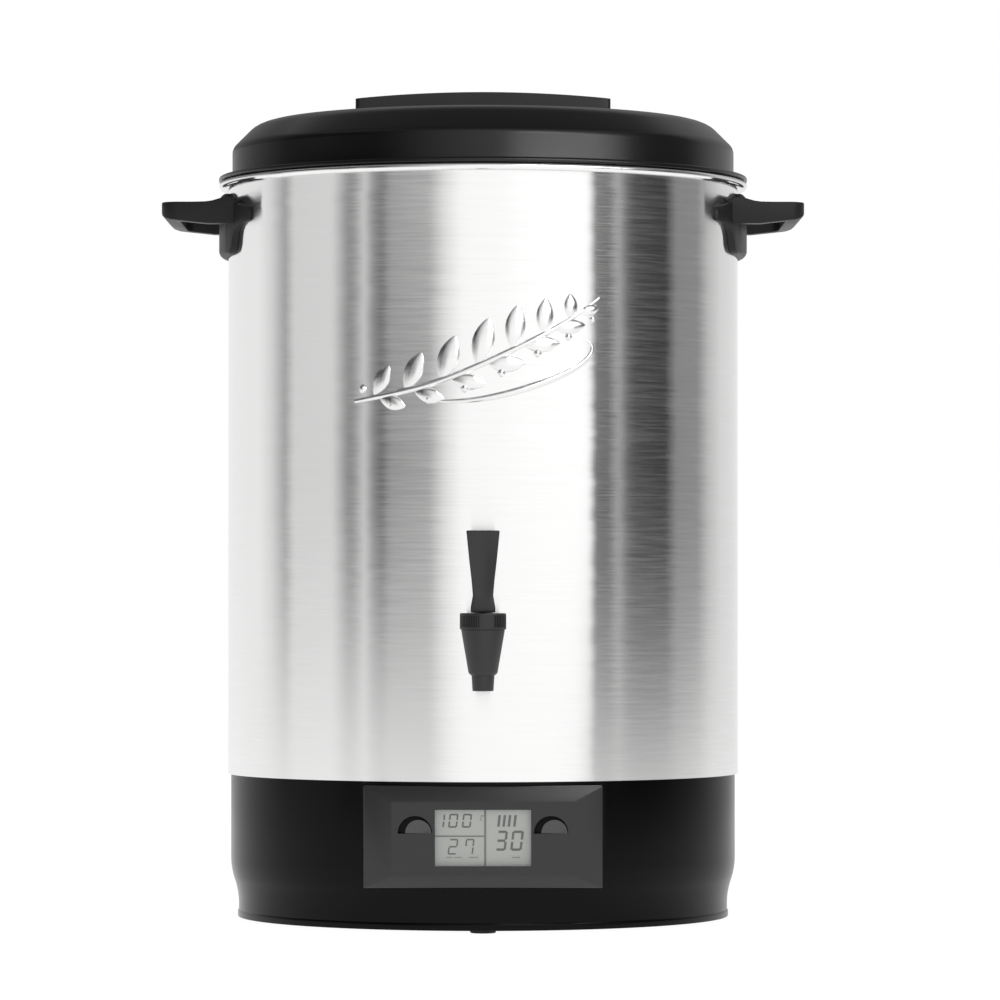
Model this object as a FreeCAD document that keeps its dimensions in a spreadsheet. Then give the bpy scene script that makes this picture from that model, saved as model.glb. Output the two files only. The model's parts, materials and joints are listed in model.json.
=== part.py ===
import FreeCAD, Part
import math
import os
import Sketcher

# Electric preserving and brewing kettle. Millimetres, +Z up, the front faces -Y.
# The origin is on the floor, on the axis of the vessel.

doc = FreeCAD.newDocument("ElectricBrewer")
sheet = doc.addObject("Spreadsheet::Sheet", "Sizes")
Vector = FreeCAD.Vector
NODES = []


class Size:
    """A length with its value and the spreadsheet expression that gives it."""

    def __init__(self, value, text):
        self.value = float(value)
        self.text = text

    def __add__(self, other):
        return join(self, "+", other, self.value + number(other))

    def __sub__(self, other):
        return join(self, "-", other, self.value - number(other))

    def __mul__(self, other):
        return join(self, "*", other, self.value * number(other))

    def __truediv__(self, other):
        return join(self, "/", other, self.value / number(other))

    def __neg__(self):
        return Size(-self.value, "(0 - %s)" % self.text)

    def __radd__(self, other):
        return as_size(other) + self

    def __rsub__(self, other):
        return as_size(other) - self

    def __rmul__(self, other):
        return as_size(other) * self


def as_size(value):
    return value if isinstance(value, Size) else Size(value, "(%.6f)" % value)


def number(value):
    return as_size(value).value


def join(first, sign, second, value):
    return Size(value, "(%s %s %s)" % (first.text, sign, as_size(second).text))


def root(value):
    """Square root of a size."""
    return Size(math.sqrt(value.value), "sqrt(%s)" % value.text)


def size(alias, value):
    """One driving dimension: a row of the sheet and its name."""
    row = size.row = getattr(size, "row", 0) + 1
    sheet.set("A%d" % row, alias)
    sheet.set("B%d" % row, str(value))
    sheet.setAlias("B%d" % row, alias)
    return Size(value, "Sizes.%s" % alias)


# ---------------------------------------------------------------- driving dimensions
# Clearances
seat_gap = size("seat_gap", 0.2)
slide_gap = size("slide_gap", 0.3)
shaft_gap = size("shaft_gap", 0.06)

# Steel vessel
body_radius = size("body_radius", 175.0)
vessel_height = size("vessel_height", 405.1)
vessel_wall = size("vessel_wall", 1.0)
seam_height = size("seam_height", 99.6)
rim_width = size("rim_width", 6.5)
rim_depth = size("rim_depth", 5.2)
floor_rise = size("floor_rise", 13.4)
floor_thick = size("floor_thick", 1.2)
floor_corner = size("floor_corner", 6.0)

# Black base
base_lift = size("base_lift", 2.0)
base_wall = size("base_wall", 2.6)
skirt_gap = size("skirt_gap", 1.2)
skirt_lap = size("skirt_lap", 6.0)
foot_inset = size("foot_inset", 5.4)
step_low = size("step_low", 20.0)
step_high = size("step_high", 34.0)
step_round = size("step_round", 9.0)
lip_width = size("lip_width", 0.7)
lip_height = size("lip_height", 4.0)
shelf_width = size("shelf_width", 45.0)
cover_rise = size("cover_rise", 1.5)
cover_thick = size("cover_thick", 2.5)
rubber_foot_radius = size("rubber_foot_radius", 8.5)
foot_margin = size("foot_margin", 1.8)
post_margin = size("post_margin", 3.8)
screw_margin = size("screw_margin", 10.2)
post_radius = size("post_radius", 5.0)
screw_radius = size("screw_radius", 2.0)
seal_margin = size("seal_margin", 12.0)

# Heater under the vessel floor
spreader_radius = size("spreader_radius", 105.0)
spreader_thick = size("spreader_thick", 4.5)
element_circle = size("element_circle", 80.0)
element_tube = size("element_tube", 4.0)
shield_margin = size("shield_margin", 9.0)
shield_dish_inset = size("shield_dish_inset", 8.8)
shield_depth = size("shield_depth", 16.0)
shield_thick = size("shield_thick", 0.8)

# Lid
lid_flange_thick = size("lid_flange_thick", 3.0)
lid_wall_inset = size("lid_wall_inset", 9.2)
lid_wall_height = size("lid_wall_height", 22.6)
lid_chamfer = size("lid_chamfer", 17.5)
lid_wall = size("lid_wall", 2.5)
lid_skirt_drop = size("lid_skirt_drop", 8.5)
well_radius = size("well_radius", 66.0)
well_depth = size("well_depth", 22.0)

# Grip across the well of the lid
grip_half_length = size("grip_half_length", 87.0)
grip_half_depth = size("grip_half_depth", 35.0)
grip_height = size("grip_height", 19.5)
grip_sag = size("grip_sag", 4.4)
grip_wall = size("grip_wall", 2.5)
grip_lift = size("grip_lift", 4.0)

# Side handles
handle_reach = size("handle_reach", 43.0)
handle_half_width = size("handle_half_width", 60.0)
handle_bar = size("handle_bar", 12.0)
handle_drop = size("handle_drop", 17.4)
handle_tip_depth = size("handle_tip_depth", 8.8)
handle_root_depth = size("handle_root_depth", 13.5)
handle_tip_round = size("handle_tip_round", 2.0)
handle_corner = size("handle_corner", 11.0)
plate_thick = size("plate_thick", 6.4)
plate_top_drop = size("plate_top_drop", 9.0)
plate_height = size("plate_height", 43.2)
wing_half_width = size("wing_half_width", 80.3)
tab_half_width = size("tab_half_width", 57.0)
upper_screw_drop = size("upper_screw_drop", 24.0)
lower_screw_drop = size("lower_screw_drop", 45.0)

# Control panel on the base
panel_margin = size("panel_margin", 2.5)
panel_low = size("panel_low", 30.5)
panel_gap = size("panel_gap", 2.6)
panel_reach = size("panel_reach", 5.0)
panel_bevel_depth = size("panel_bevel_depth", 6.0)
panel_side_bevel = size("panel_side_bevel", 18.2)
panel_top_bevel = size("panel_top_bevel", 10.3)
panel_low_bevel = size("panel_low_bevel", 7.9)
panel_wall = size("panel_wall", 2.5)
panel_tuck = size("panel_tuck", 5.3)
window_half_width = size("window_half_width", 32.0)
window_low = size("window_low", 44.3)
window_high = size("window_high", 82.5)
key_margin = size("key_margin", 1.5)
key_height = size("key_height", 66.5)
key_radius = size("key_radius", 10.9)
key_flange = size("key_flange", 2.0)
key_dish = size("key_dish", 3.0)
key_depth = size("key_depth", 4.6)
key_travel = size("key_travel", 1.2)
board_gap = size("board_gap", 7.1)
board_thick = size("board_thick", 1.6)
board_inset = size("board_inset", 8.0)
panel_post_inset = size("panel_post_inset", 20.0)

# Tap
tap_reach = size("tap_reach", 35.0)
tap_rise = size("tap_rise", 75.0)
spout_radius = size("spout_radius", 7.1)
spout_drop = size("spout_drop", 28.3)
spout_length = size("spout_length", 10.4)
cone_low_radius = size("cone_low_radius", 9.4)
cone_high_radius = size("cone_high_radius", 14.2)
cone_rise = size("cone_rise", 11.5)
shank_radius = size("shank_radius", 8.0)
shank_bore = size("shank_bore", 5.2)
shank_length = size("shank_length", 17.0)
shoulder_radius = size("shoulder_radius", 9.6)
bonnet_radius = size("bonnet_radius", 15.0)
bonnet_height = size("bonnet_height", 10.6)
stem_radius = size("stem_radius", 2.5)
seat_radius = size("seat_radius", 4.9)
plunger_travel = size("plunger_travel", 3.7)
lever_pin_rise = size("lever_pin_rise", 4.4)
lever_height = size("lever_height", 53.4)
lever_low_half = size("lever_low_half", 6.15)
lever_high_half = size("lever_high_half", 10.85)
lever_base_half = size("lever_base_half", 7.75)
lever_pin_radius = size("lever_pin_radius", 1.0)

# Mains inlet at the back
gland_height = size("gland_height", 52.0)
gland_radius = size("gland_radius", 8.0)
gland_bore = size("gland_bore", 3.8)

# ---------------------------------------------------------------- derived levels and radii
vessel_inner = body_radius - vessel_wall
rim_level = seam_height + vessel_height
floor_top = seam_height + floor_rise
floor_under = floor_top - floor_thick
base_radius = vessel_inner - skirt_gap
base_inner = base_radius - base_wall
foot_radius = base_radius - foot_inset
foot_inner = foot_radius - base_wall
shelf_inner = base_radius - shelf_width
foot_circle = foot_inner - rubber_foot_radius - foot_margin
cover_screw_circle = foot_inner - post_radius - post_margin
base_screw_circle = shelf_inner + screw_margin
seal_inner_radius = base_screw_circle + seal_margin
shield_radius = base_screw_circle + shield_margin
shield_dish_radius = shelf_inner - shield_dish_inset
base_top = seam_height + skirt_lap
shelf_under = base_top - base_wall
cover_under = base_lift + cover_rise
cover_top = cover_under + cover_thick
spreader_under = floor_under - spreader_thick
shield_top = shelf_under
shield_floor = shield_top - shield_depth
lid_level = rim_level + seat_gap
lid_flange_radius = body_radius + rim_width
lid_wall_radius = lid_flange_radius - lid_wall_inset
lid_shoulder = lid_level + lid_wall_height
lid_top = lid_shoulder + lid_chamfer
lid_top_radius = lid_wall_radius - lid_chamfer
well_floor = lid_top - well_depth
grip_top = lid_top + grip_height
handle_top = rim_level - handle_drop
handle_tip = body_radius + handle_reach
plate_inner = body_radius + seat_gap
plate_outer = body_radius + plate_thick
plate_top = rim_level - plate_top_drop
plate_low = plate_top - plate_height
panel_high = seam_height - panel_gap
panel_front = -(body_radius + panel_reach)
key_spread = window_half_width + key_margin + key_radius
panel_half_width = key_spread + key_radius + key_flange + panel_side_bevel + panel_margin
panel_back = root(base_inner * base_inner - panel_half_width * panel_half_width) - panel_tuck
panel_inner_front = panel_front + panel_wall
board_front = panel_inner_front + board_gap
board_back = board_front + board_thick
tap_axis = -(body_radius + tap_reach)
tap_height = floor_top + tap_rise
spout_low = tap_height - spout_drop
spout_top = spout_low + spout_length
cone_top = tap_height + cone_rise
bonnet_top = cone_top + bonnet_height
lever_pin_level = bonnet_top + lever_pin_rise

ALONG = {
    "X": FreeCAD.Rotation(Vector(0, 1, 0), 90),
    "Y": FreeCAD.Rotation(Vector(1, 0, 0), -90),
    "Z": FreeCAD.Rotation(),
}


# ---------------------------------------------------------------- building helpers
def bind(thing, prop, value):
    """Set a property from a size and keep it tied to the sheet."""
    thing.setExpression(prop, as_size(value).text)


def move(thing, x=0.0, y=0.0, z=0.0, rotation=None):
    """Turn a piece, then hold its place with expressions."""
    thing.Placement = FreeCAD.Placement(Vector(number(x), number(y), number(z)),
                                        rotation or FreeCAD.Rotation())
    bind(thing, "Placement.Base.x", x)
    bind(thing, "Placement.Base.y", y)
    bind(thing, "Placement.Base.z", z)
    return thing


def rod(name, radius, length, x=0.0, y=0.0, z=0.0, along="Z"):
    piece = doc.addObject("Part::Cylinder", name)
    bind(piece, "Radius", radius)
    bind(piece, "Height", length)
    return move(piece, x, y, z, ALONG[along])


def block(name, low, high):
    """A box between two corners."""
    piece = doc.addObject("Part::Box", name)
    for prop, start, end in zip(("Length", "Width", "Height"), low, high):
        bind(piece, prop, end - as_size(start))
    return move(piece, *low)


def ball(name, radius, x, y, z):
    piece = doc.addObject("Part::Sphere", name)
    bind(piece, "Radius", radius)
    return move(piece, x, y, z)


def fuse(name, *pieces):
    whole = doc.addObject("Part::MultiFuse", name)
    whole.Shapes = list(pieces)
    whole.Refine = True
    return whole


def cut(name, base, *tools):
    result = doc.addObject("Part::Cut", name)
    result.Base = base
    result.Tool = tools[0] if len(tools) == 1 else fuse(name + "_tools", *tools)
    result.Refine = True
    return result


def common(name, base, tool):
    result = doc.addObject("Part::Common", name)
    result.Base = base
    result.Tool = tool
    result.Refine = True
    return result


def sketch_polygon(body, name, plane_role, corners, offset=0.0):
    """A closed outline on an origin plane, every corner tied to the sheet."""
    sketch = body.newObject("Sketcher::SketchObject", name)
    plane = [item for item in body.Origin.OriginFeatures if item.Role == plane_role][0]
    sketch.AttachmentSupport = [(plane, "")]
    sketch.MapMode = "FlatFace"
    bind(sketch, "AttachmentOffset.Base.z", offset)
    count = len(corners)
    spots = [Vector(number(across), number(up), 0) for across, up in corners]
    for index in range(count):
        line = Part.LineSegment(spots[index], spots[(index + 1) % count])
        sketch.addGeometry(line, False)
    for index in range(count):
        following = (index + 1) % count
        sketch.addConstraint(Sketcher.Constraint("Coincident", index, 2, following, 1))
    for index, corner in enumerate(corners):
        for kind, value in zip(("DistanceX", "DistanceY"), corner):
            held = Sketcher.Constraint(kind, -1, 1, index, 1, number(value))
            bind(sketch, "Constraints[%d]" % sketch.addConstraint(held), value)
    return sketch


def turned(name, corners):
    """A solid of revolution about Z from (radius, height) corners."""
    body = doc.addObject("PartDesign::Body", name)
    sketch = sketch_polygon(body, name + "_section", "XZ_Plane", corners)
    spin = body.newObject("PartDesign::Revolution", name + "_turn")
    spin.Profile = sketch
    spin.ReferenceAxis = (sketch, ["V_Axis"])
    spin.Angle = 360
    doc.recompute()
    return body


def padded(name, plane_role, corners, offset, length):
    """A prism from an outline, from its plane's offset along the plane's normal."""
    body = doc.addObject("PartDesign::Body", name)
    sketch = sketch_polygon(body, name + "_outline", plane_role, corners, offset)
    pad = body.newObject("PartDesign::Pad", name + "_pad")
    pad.Profile = sketch
    bind(pad, "Length", length)
    doc.recompute()
    return body


def round_edges(body, radius, wanted):
    """Fillet the edges of a body that the test picks."""
    base = body.Tip
    edges = base.Shape.Edges
    names = ["Edge%d" % (index + 1) for index, edge in enumerate(edges) if wanted(edge)]
    if not names:
        raise ValueError("no edge to round on " + body.Name)
    fillet = body.newObject("PartDesign::Fillet", "%s_round_%d" % (body.Name, len(body.Group)))
    fillet.Base = (base, names)
    bind(fillet, "Radius", radius)
    doc.recompute()
    return body


def ring_at(radius, height):
    """A test for the circular edge at a radius and a height."""
    def wanted(edge):
        curve = edge.Curve
        if not isinstance(curve, Part.Circle):
            return False
        same_radius = abs(curve.Radius - number(radius)) < 0.01
        return same_radius and abs(curve.Center.z - number(height)) < 0.01
    return wanted


def round_rings(body, radius, *rings):
    """Fillet circular edges, each given as (radius, height)."""
    tests = [ring_at(*ring) for ring in rings]
    return round_edges(body, radius, lambda edge: any(test(edge) for test in tests))


def upright_at(across, deep):
    """A test for upright straight edges at +-across, +-deep."""
    def wanted(edge):
        if not isinstance(edge.Curve, Part.Line) or len(edge.Vertexes) != 2:
            return False
        first, second = (vertex.Point for vertex in edge.Vertexes)
        upright = abs(first.x - second.x) < 0.01 and abs(first.y - second.y) < 0.01
        return upright and abs(abs(first.x) - number(across)) < 0.01 \
            and abs(abs(first.y) - number(deep)) < 0.01
    return wanted


def around(radius, degrees):
    """Plan place on a circle about the axis of the vessel."""
    angle = math.radians(degrees)
    return radius * math.cos(angle), radius * math.sin(angle)


def node(piece, label):
    """Mark a finished piece as a sub-part with its own name."""
    piece.Label = label
    NODES.append(piece)
    return piece


# ---------------------------------------------------------------- vessel and base
BASE_SCREW_TURNS = (50.0, 170.0, 290.0)
COVER_SCREW_TURNS = (-10.0, 110.0, 230.0)
FOOT_TURNS = {"foot_front": 270.0, "foot_right": 30.0, "foot_left": 150.0}
SIDES = {"left": -1.0, "right": 1.0}


def make_vessel():
    rim_under = rim_level - rim_depth
    outer = body_radius + rim_width
    pot = turned("VesselTurned", [
        (body_radius, seam_height), (body_radius, rim_under), (outer, rim_under),
        (outer, rim_level), (vessel_inner, rim_level), (vessel_inner, floor_top),
        (0.0, floor_top), (0.0, floor_under), (vessel_inner, floor_under),
        (vessel_inner, seam_height)])
    round_rings(pot, rim_depth * 0.49, (outer, rim_under), (outer, rim_level))
    round_rings(pot, floor_corner, (vessel_inner, floor_top))
    bosses = []
    drills = [rod("VesselTapHole", shank_radius + seat_gap, tap_reach * 2, 0.0,
                  tap_axis, tap_height, "Y")]
    for index, turn in enumerate(BASE_SCREW_TURNS):
        x, y = around(base_screw_circle, turn)
        bosses.append(rod("FloorBoss%d" % index, post_radius, floor_under - base_top,
                          x, y, base_top))
        drills.append(rod("FloorBossBore%d" % index, screw_radius + shaft_gap,
                          floor_under - base_top - vessel_wall, x, y, base_top))
    for side, sign in SIDES.items():
        for level, drop in (("Upper", upper_screw_drop), ("Lower", lower_screw_drop)):
            start = body_radius * sign - 20.0
            drills.append(rod("HandleHole%s%s" % (side.title(), level), screw_radius + seat_gap,
                              40.0, start, 0.0, rim_level - drop, "X"))
    node(cut("Vessel", fuse("VesselWithBosses", pot, *bosses), *drills), "vessel_shell")


def make_base_housing():
    lip_top = base_lift + lip_height
    lip_radius = foot_radius + lip_width
    shell = turned("BaseTurned", [
        (lip_radius, base_lift), (lip_radius, lip_top), (foot_radius, lip_top + lip_width),
        (foot_radius, step_low), (base_radius, step_high), (base_radius, base_top),
        (shelf_inner, base_top), (shelf_inner, shelf_under),
        (base_inner, shelf_under), (base_inner, step_high + base_wall),
        (foot_inner, step_low + base_wall), (foot_inner, base_lift)])
    round_rings(shell, step_round, (foot_radius, step_low), (base_radius, step_high))
    round_rings(shell, lip_width * 2, (lip_radius, base_lift))
    posts = []
    drills = [block("PanelWindow",
                    (-(panel_half_width + seat_gap), -(base_radius + 5.0), panel_low - seat_gap),
                    (panel_half_width + seat_gap, -panel_back, panel_high + seat_gap)),
              rod("GlandHole", gland_radius + seat_gap, base_wall * 4, 0.0,
                  base_radius - base_wall * 2, gland_height, "Y")]
    for index, turn in enumerate(COVER_SCREW_TURNS):
        x, y = around(cover_screw_circle, turn)
        posts.append(rod("CoverPost%d" % index, post_radius, shelf_under - cover_top,
                         x, y, cover_top))
        drills.append(rod("CoverPostBore%d" % index, screw_radius + shaft_gap, 14.0,
                          x, y, cover_top))
    for index, turn in enumerate(BASE_SCREW_TURNS):
        x, y = around(base_screw_circle, turn)
        drills.append(rod("ShelfHole%d" % index, screw_radius + seat_gap, base_wall * 3,
                          x, y, shelf_under - base_wall))
    node(cut("BaseHousing", fuse("BaseWithPosts", shell, *posts), *drills), "base_housing")


BOARD_POSTS = ((-50.0, 5.0), (50.0, 5.0), (-50.0, 95.0), (50.0, 95.0))
BOARD_LEVEL = cover_top + 12.0


def make_base_cover():
    radius = foot_inner - slide_gap
    disc = rod("CoverDisc", radius, cover_thick, 0.0, 0.0, cover_under)
    posts = [rod("BoardPost%d" % index, post_radius, BOARD_LEVEL - cover_under, x, y, cover_under)
             for index, (x, y) in enumerate(BOARD_POSTS)]
    drills = []
    for name, turn in FOOT_TURNS.items():
        x, y = around(foot_circle, turn)
        drills.append(rod(name + "_hole", 3.0, cover_thick * 3, x, y, cover_under - cover_thick))
    for index, turn in enumerate(COVER_SCREW_TURNS):
        x, y = around(cover_screw_circle, turn)
        drills.append(rod("CoverHole%d" % index, screw_radius + seat_gap, cover_thick * 3,
                          x, y, cover_under - cover_thick))
    for index in range(7):
        across = (index - 3) * 14.0
        drills.append(block("CoverSlot%d" % index, (across - 2.5, -70.0, cover_under - 1.0),
                            (across + 2.5, -25.0, cover_top + 1.0)))
    node(cut("BaseCover", fuse("CoverWithPosts", disc, *posts), *drills), "base_cover")


def make_feet():
    barb_top = cover_top + 2.2
    for name, turn in FOOT_TURNS.items():
        foot = turned(name + "_turned", [
            (0.0, 0.0), (rubber_foot_radius, 0.0), (rubber_foot_radius, cover_under),
            (2.9, cover_under), (2.9, cover_top), (3.8, cover_top), (2.4, barb_top),
            (0.0, barb_top)])
        round_rings(foot, 0.8, (rubber_foot_radius, 0.0))
        x, y = around(foot_circle, turn)
        node(move(foot, x, y, 0.0), name)


def screw(name, head_radius, head_height, length, radius=screw_radius):
    """A pan head screw whose head starts at z 0 and whose shank goes up."""
    body = turned(name, [(0.0, 0.0), (head_radius, 0.0), (head_radius, head_height),
                         (radius, head_height), (radius, head_height + length),
                         (0.0, head_height + length)])
    return round_rings(body, as_size(head_height) * 0.3, (head_radius, 0.0))


def make_base_screws():
    for index, turn in enumerate(BASE_SCREW_TURNS):
        x, y = around(base_screw_circle, turn)
        start = shelf_under - shield_thick
        bolt = screw("BaseScrew%d" % index, 4.4, 2.6, floor_under - start - 2.4)
        node(move(bolt, x, y, start - 2.6), "base_screw_%d" % (index + 1))
    for index, turn in enumerate(COVER_SCREW_TURNS):
        x, y = around(cover_screw_circle, turn)
        bolt = screw("CoverScrew%d" % index, 4.0, 1.9, cover_thick + 10.0)
        node(move(bolt, x, y, cover_under - 1.9), "cover_screw_%d" % (index + 1))


# ---------------------------------------------------------------- heater and electrics
def make_seal_ring():
    outer = base_radius - 2.0
    ring = turned("SealTurned", [(seal_inner_radius, base_top), (outer, base_top),
                                 (outer, floor_under), (seal_inner_radius, floor_under)])
    node(ring, "base_seal_ring")


def make_heater():
    spreader = turned("SpreaderTurned", [(10.0, spreader_under), (spreader_radius, spreader_under),
                                         (spreader_radius, floor_under), (10.0, floor_under)])
    node(spreader, "heat_spreader")
    level = spreader_under - element_tube - shaft_gap
    loop = doc.addObject("Part::Torus", "ElementLoop")
    bind(loop, "Radius1", element_circle)
    bind(loop, "Radius2", element_tube)
    loop.Angle3 = 325
    move(loop, 0.0, 0.0, level, FreeCAD.Rotation(Vector(0, 0, 1), 107.5))
    pins = []
    for index, turn in enumerate((107.5, 72.5)):
        x, y = around(element_circle, turn)
        pins.append(rod("ElementPin%d" % index, element_tube - 0.8, level - shield_floor + 8.0,
                        x, y, shield_floor - 8.0))
        pins.append(ball("ElementBend%d" % index, element_tube + shaft_gap / 2.0, x, y, level))
    node(fuse("Element", loop, *pins), "heating_element")
    wall = shield_thick
    dish = turned("ShieldTurned", [
        (shield_radius, shield_top - wall), (shield_radius, shield_top),
        (shield_dish_radius + 2.0, shield_top), (shield_dish_radius - 1.0, shield_floor),
        (0.0, shield_floor), (0.0, shield_floor - wall),
        (shield_dish_radius - 0.2, shield_floor - wall),
        (shield_dish_radius + 2.8, shield_top - wall)])
    drills = []
    for index, turn in enumerate((107.5, 72.5)):
        x, y = around(element_circle, turn)
        drills.append(rod("ShieldPinHole%d" % index, element_tube + 2.0, 10.0,
                          x, y, shield_floor - 5.0))
    for index, turn in enumerate(BASE_SCREW_TURNS):
        x, y = around(base_screw_circle, turn)
        drills.append(rod("ShieldHole%d" % index, screw_radius + seat_gap, 6.0,
                          x, y, shield_top - 3.0))
    node(cut("Shield", dish, *drills), "heat_shield")


def make_sensor():
    sensor_low = floor_under - 7.0
    can = turned("SensorTurned", [(0.0, sensor_low), (8.0, sensor_low), (8.0, floor_under),
                                  (0.0, floor_under)])
    node(can, "temperature_sensor")
    half = 9.0
    leaf = 1.0
    post = block("ClipOuter", (-half, -6.0, shield_floor), (half, 6.0, sensor_low))
    inner = block("ClipInner", (-(half - leaf), -7.0, shield_floor - 1.0),
                  (half - leaf, 7.0, sensor_low - leaf))
    node(cut("SensorClip", post, inner), "sensor_clip")
    drum = rod("CutoutDrum", 8.5, 8.0, -42.0, 0.0, spreader_under - 8.0)
    tabs = [block("CutoutTab%d" % index, (-42.0 + turn - 0.4, -3.2, spreader_under - 15.0),
                  (-42.0 + turn + 0.4, 3.2, spreader_under - 7.0))
            for index, turn in enumerate((-5.0, 5.0))]
    node(fuse("Cutout", drum, *tabs), "thermal_cutout")


BOARD_BACK = 100.0
RELAY_LOW = (-48.0, 30.0)
TERMINAL_LOW = (10.0, 60.0)


def make_power_board():
    top = BOARD_LEVEL + board_thick
    board = block("PowerBoard", (-55.0, 0.0, BOARD_LEVEL), (55.0, BOARD_BACK, top))
    node(board, "power_board")
    relay = block("Relay", (RELAY_LOW[0], RELAY_LOW[1], top),
                  (RELAY_LOW[0] + 29.0, RELAY_LOW[1] + 13.0, top + 25.0))
    node(relay, "relay")
    node(block("Capacitor", (-48.0, 60.0, top), (-22.0, 70.0, top + 19.0)), "filter_capacitor")
    x, y = TERMINAL_LOW
    shell = block("TerminalBody", (x, y, top), (x + 32.0, y + 16.0, top + 18.0))
    slots = [block("TerminalSlot%d" % index, (x + 3.0 + index * 10.0, y - 1.0, top + 9.0),
                   (x + 9.0 + index * 10.0, y + 6.0, top + 15.0)) for index in range(3)]
    node(cut("Terminal", shell, *slots), "terminal_block")


def tangent_path(points, bend):
    """Straight runs joined by tangent arcs, as one wire."""
    points = [Vector(*point) for point in points]
    edges = []
    start = points[0]
    for before, corner, after in zip(points, points[1:], points[2:]):
        come = (corner - before).normalize()
        leave = (after - corner).normalize()
        turn = come.getAngle(leave)
        back = bend * math.tan(turn / 2)
        first = corner - come * back
        last = corner + leave * back
        bulge = (leave - come).normalize()
        middle = corner + bulge * (bend / math.cos(turn / 2) - bend)
        edges.append(Part.LineSegment(start, first).toShape())
        edges.append(Part.Arc(first, middle, last).toShape())
        start = last
    edges.append(Part.LineSegment(start, points[-1]).toShape())
    return Part.Wire(edges)


def wire_along(label, points, radius, bend):
    path = tangent_path(points, bend)
    start = Vector(*points[0])
    section = Part.Wire([Part.Circle(start, Vector(*points[1]) - start, radius).toShape()])
    lead = doc.addObject("Part::Feature", label)
    lead.Shape = path.makePipeShell([section], True, False)
    return node(lead, label)


def make_leads():
    """Silicone leads from the terminal block up to the element's pins."""
    entry = number(BOARD_LEVEL + board_thick) + 12.0
    pin_end = number(shield_floor) - 8.0
    x, y = TERMINAL_LOW
    for index, turn in enumerate((107.5, 72.5)):
        pin_x, pin_y = around(number(element_circle), turn)
        slot_x = x + 6.0 + (1 - index) * 10.0 - 10.0 * (1 - 2 * index)
        route = [(slot_x, y + 5.5, entry), (slot_x, y - 14.0 - index * 6.0, entry),
                 (slot_x, y - 14.0 - index * 6.0, entry + 16.0 + index * 6.0),
                 (pin_x, pin_y, entry + 16.0 + index * 6.0), (pin_x, pin_y, pin_end)]
        wire_along("heater_lead_%d" % (index + 1), route, 1.6, 4.5)


def make_gland():
    inside = base_radius - base_wall
    barrel = rod("GlandBarrel", gland_radius, base_wall + 22.0, 0.0, inside - 12.0,
                 gland_height, "Y")
    flange = doc.addObject("Part::Prism", "GlandHex")
    flange.Polygon = 6
    bind(flange, "Circumradius", gland_radius + 4.5)
    flange.Height = 5
    move(flange, 0.0, base_radius, gland_height, ALONG["Y"])
    bore = rod("GlandBore", gland_bore, 60.0, 0.0, inside - 20.0, gland_height, "Y")
    node(cut("Gland", fuse("GlandSolid", barrel, flange), bore), "cable_gland")
    nut = doc.addObject("Part::Prism", "GlandNutHex")
    nut.Polygon = 6
    bind(nut, "Circumradius", gland_radius + 4.5)
    nut.Height = 5
    move(nut, 0.0, inside - 6.5, gland_height, ALONG["Y"])
    hole = rod("GlandNutBore", gland_radius + shaft_gap, 20.0, 0.0, inside - 10.0,
               gland_height, "Y")
    node(cut("GlandNut", nut, hole), "gland_nut")


# ---------------------------------------------------------------- control panel
def bevelled_block(name, front, inset):
    """The panel's outer or inner form: a bevelled front face on a straight box."""
    bevel = doc.addObject("Part::Wedge", name + "Bevel")
    half = panel_half_width - inset
    bind(bevel, "Ymin", front)
    bind(bevel, "Ymax", front + panel_bevel_depth)
    bind(bevel, "X2min", -half)
    bind(bevel, "X2max", half)
    bind(bevel, "Z2min", panel_low + inset)
    bind(bevel, "Z2max", panel_high - inset)
    bind(bevel, "Xmin", -(half - panel_side_bevel))
    bind(bevel, "Xmax", half - panel_side_bevel)
    bind(bevel, "Zmin", panel_low + inset + panel_low_bevel)
    bind(bevel, "Zmax", panel_high - inset - panel_top_bevel)
    box = block(name + "Box", (-half, front + panel_bevel_depth, panel_low + inset),
                (half, -panel_back + as_size(inset) * 4.0, panel_high - inset))
    return fuse(name, bevel, box)


def half_moon(name, radius, sign, start, length):
    """Half disc above its flat lower edge, along Y."""
    disc = rod(name + "Disc", radius, length, key_spread * sign, start, key_height, "Y")
    keep = block(name + "Keep", (key_spread * sign - 30.0, start, key_height),
                 (key_spread * sign + 30.0, start + length, key_height + 30.0))
    return common(name, disc, keep)


def make_panel():
    outer = bevelled_block("PanelOuter", panel_front, 0.0)
    inner = bevelled_block("PanelInner", panel_inner_front, panel_wall)
    posts = [rod("PanelPost%s%d" % (side, index), 2.5, board_gap + 0.5,
                 (panel_half_width - panel_post_inset) * sign, panel_inner_front - 0.5, level, "Y")
             for side, sign in SIDES.items()
             for index, level in enumerate((panel_low + 13.0, panel_high - 15.5))]
    window = block("PanelLcdHole", (-window_half_width, panel_front - 1.0, window_low),
                   (window_half_width, panel_inner_front + 1.0, window_high))
    holes = []
    for side, sign in SIDES.items():
        hole = rod("KeyHoleDisc" + side, key_radius + slide_gap, panel_wall * 3,
                   key_spread * sign, panel_front - panel_wall, key_height, "Y")
        keep = block("KeyHoleKeep" + side,
                     (key_spread * sign - 30.0, panel_front - panel_wall, key_height - slide_gap),
                     (key_spread * sign + 30.0, panel_inner_front + panel_wall,
                      key_height + 30.0))
        holes.append(common("KeyHole" + side, hole, keep))
    hollow = cut("PanelHollow", outer, inner)
    node(cut("Panel", fuse("PanelWithPosts", hollow, *posts), window, *holes), "control_panel")


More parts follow.
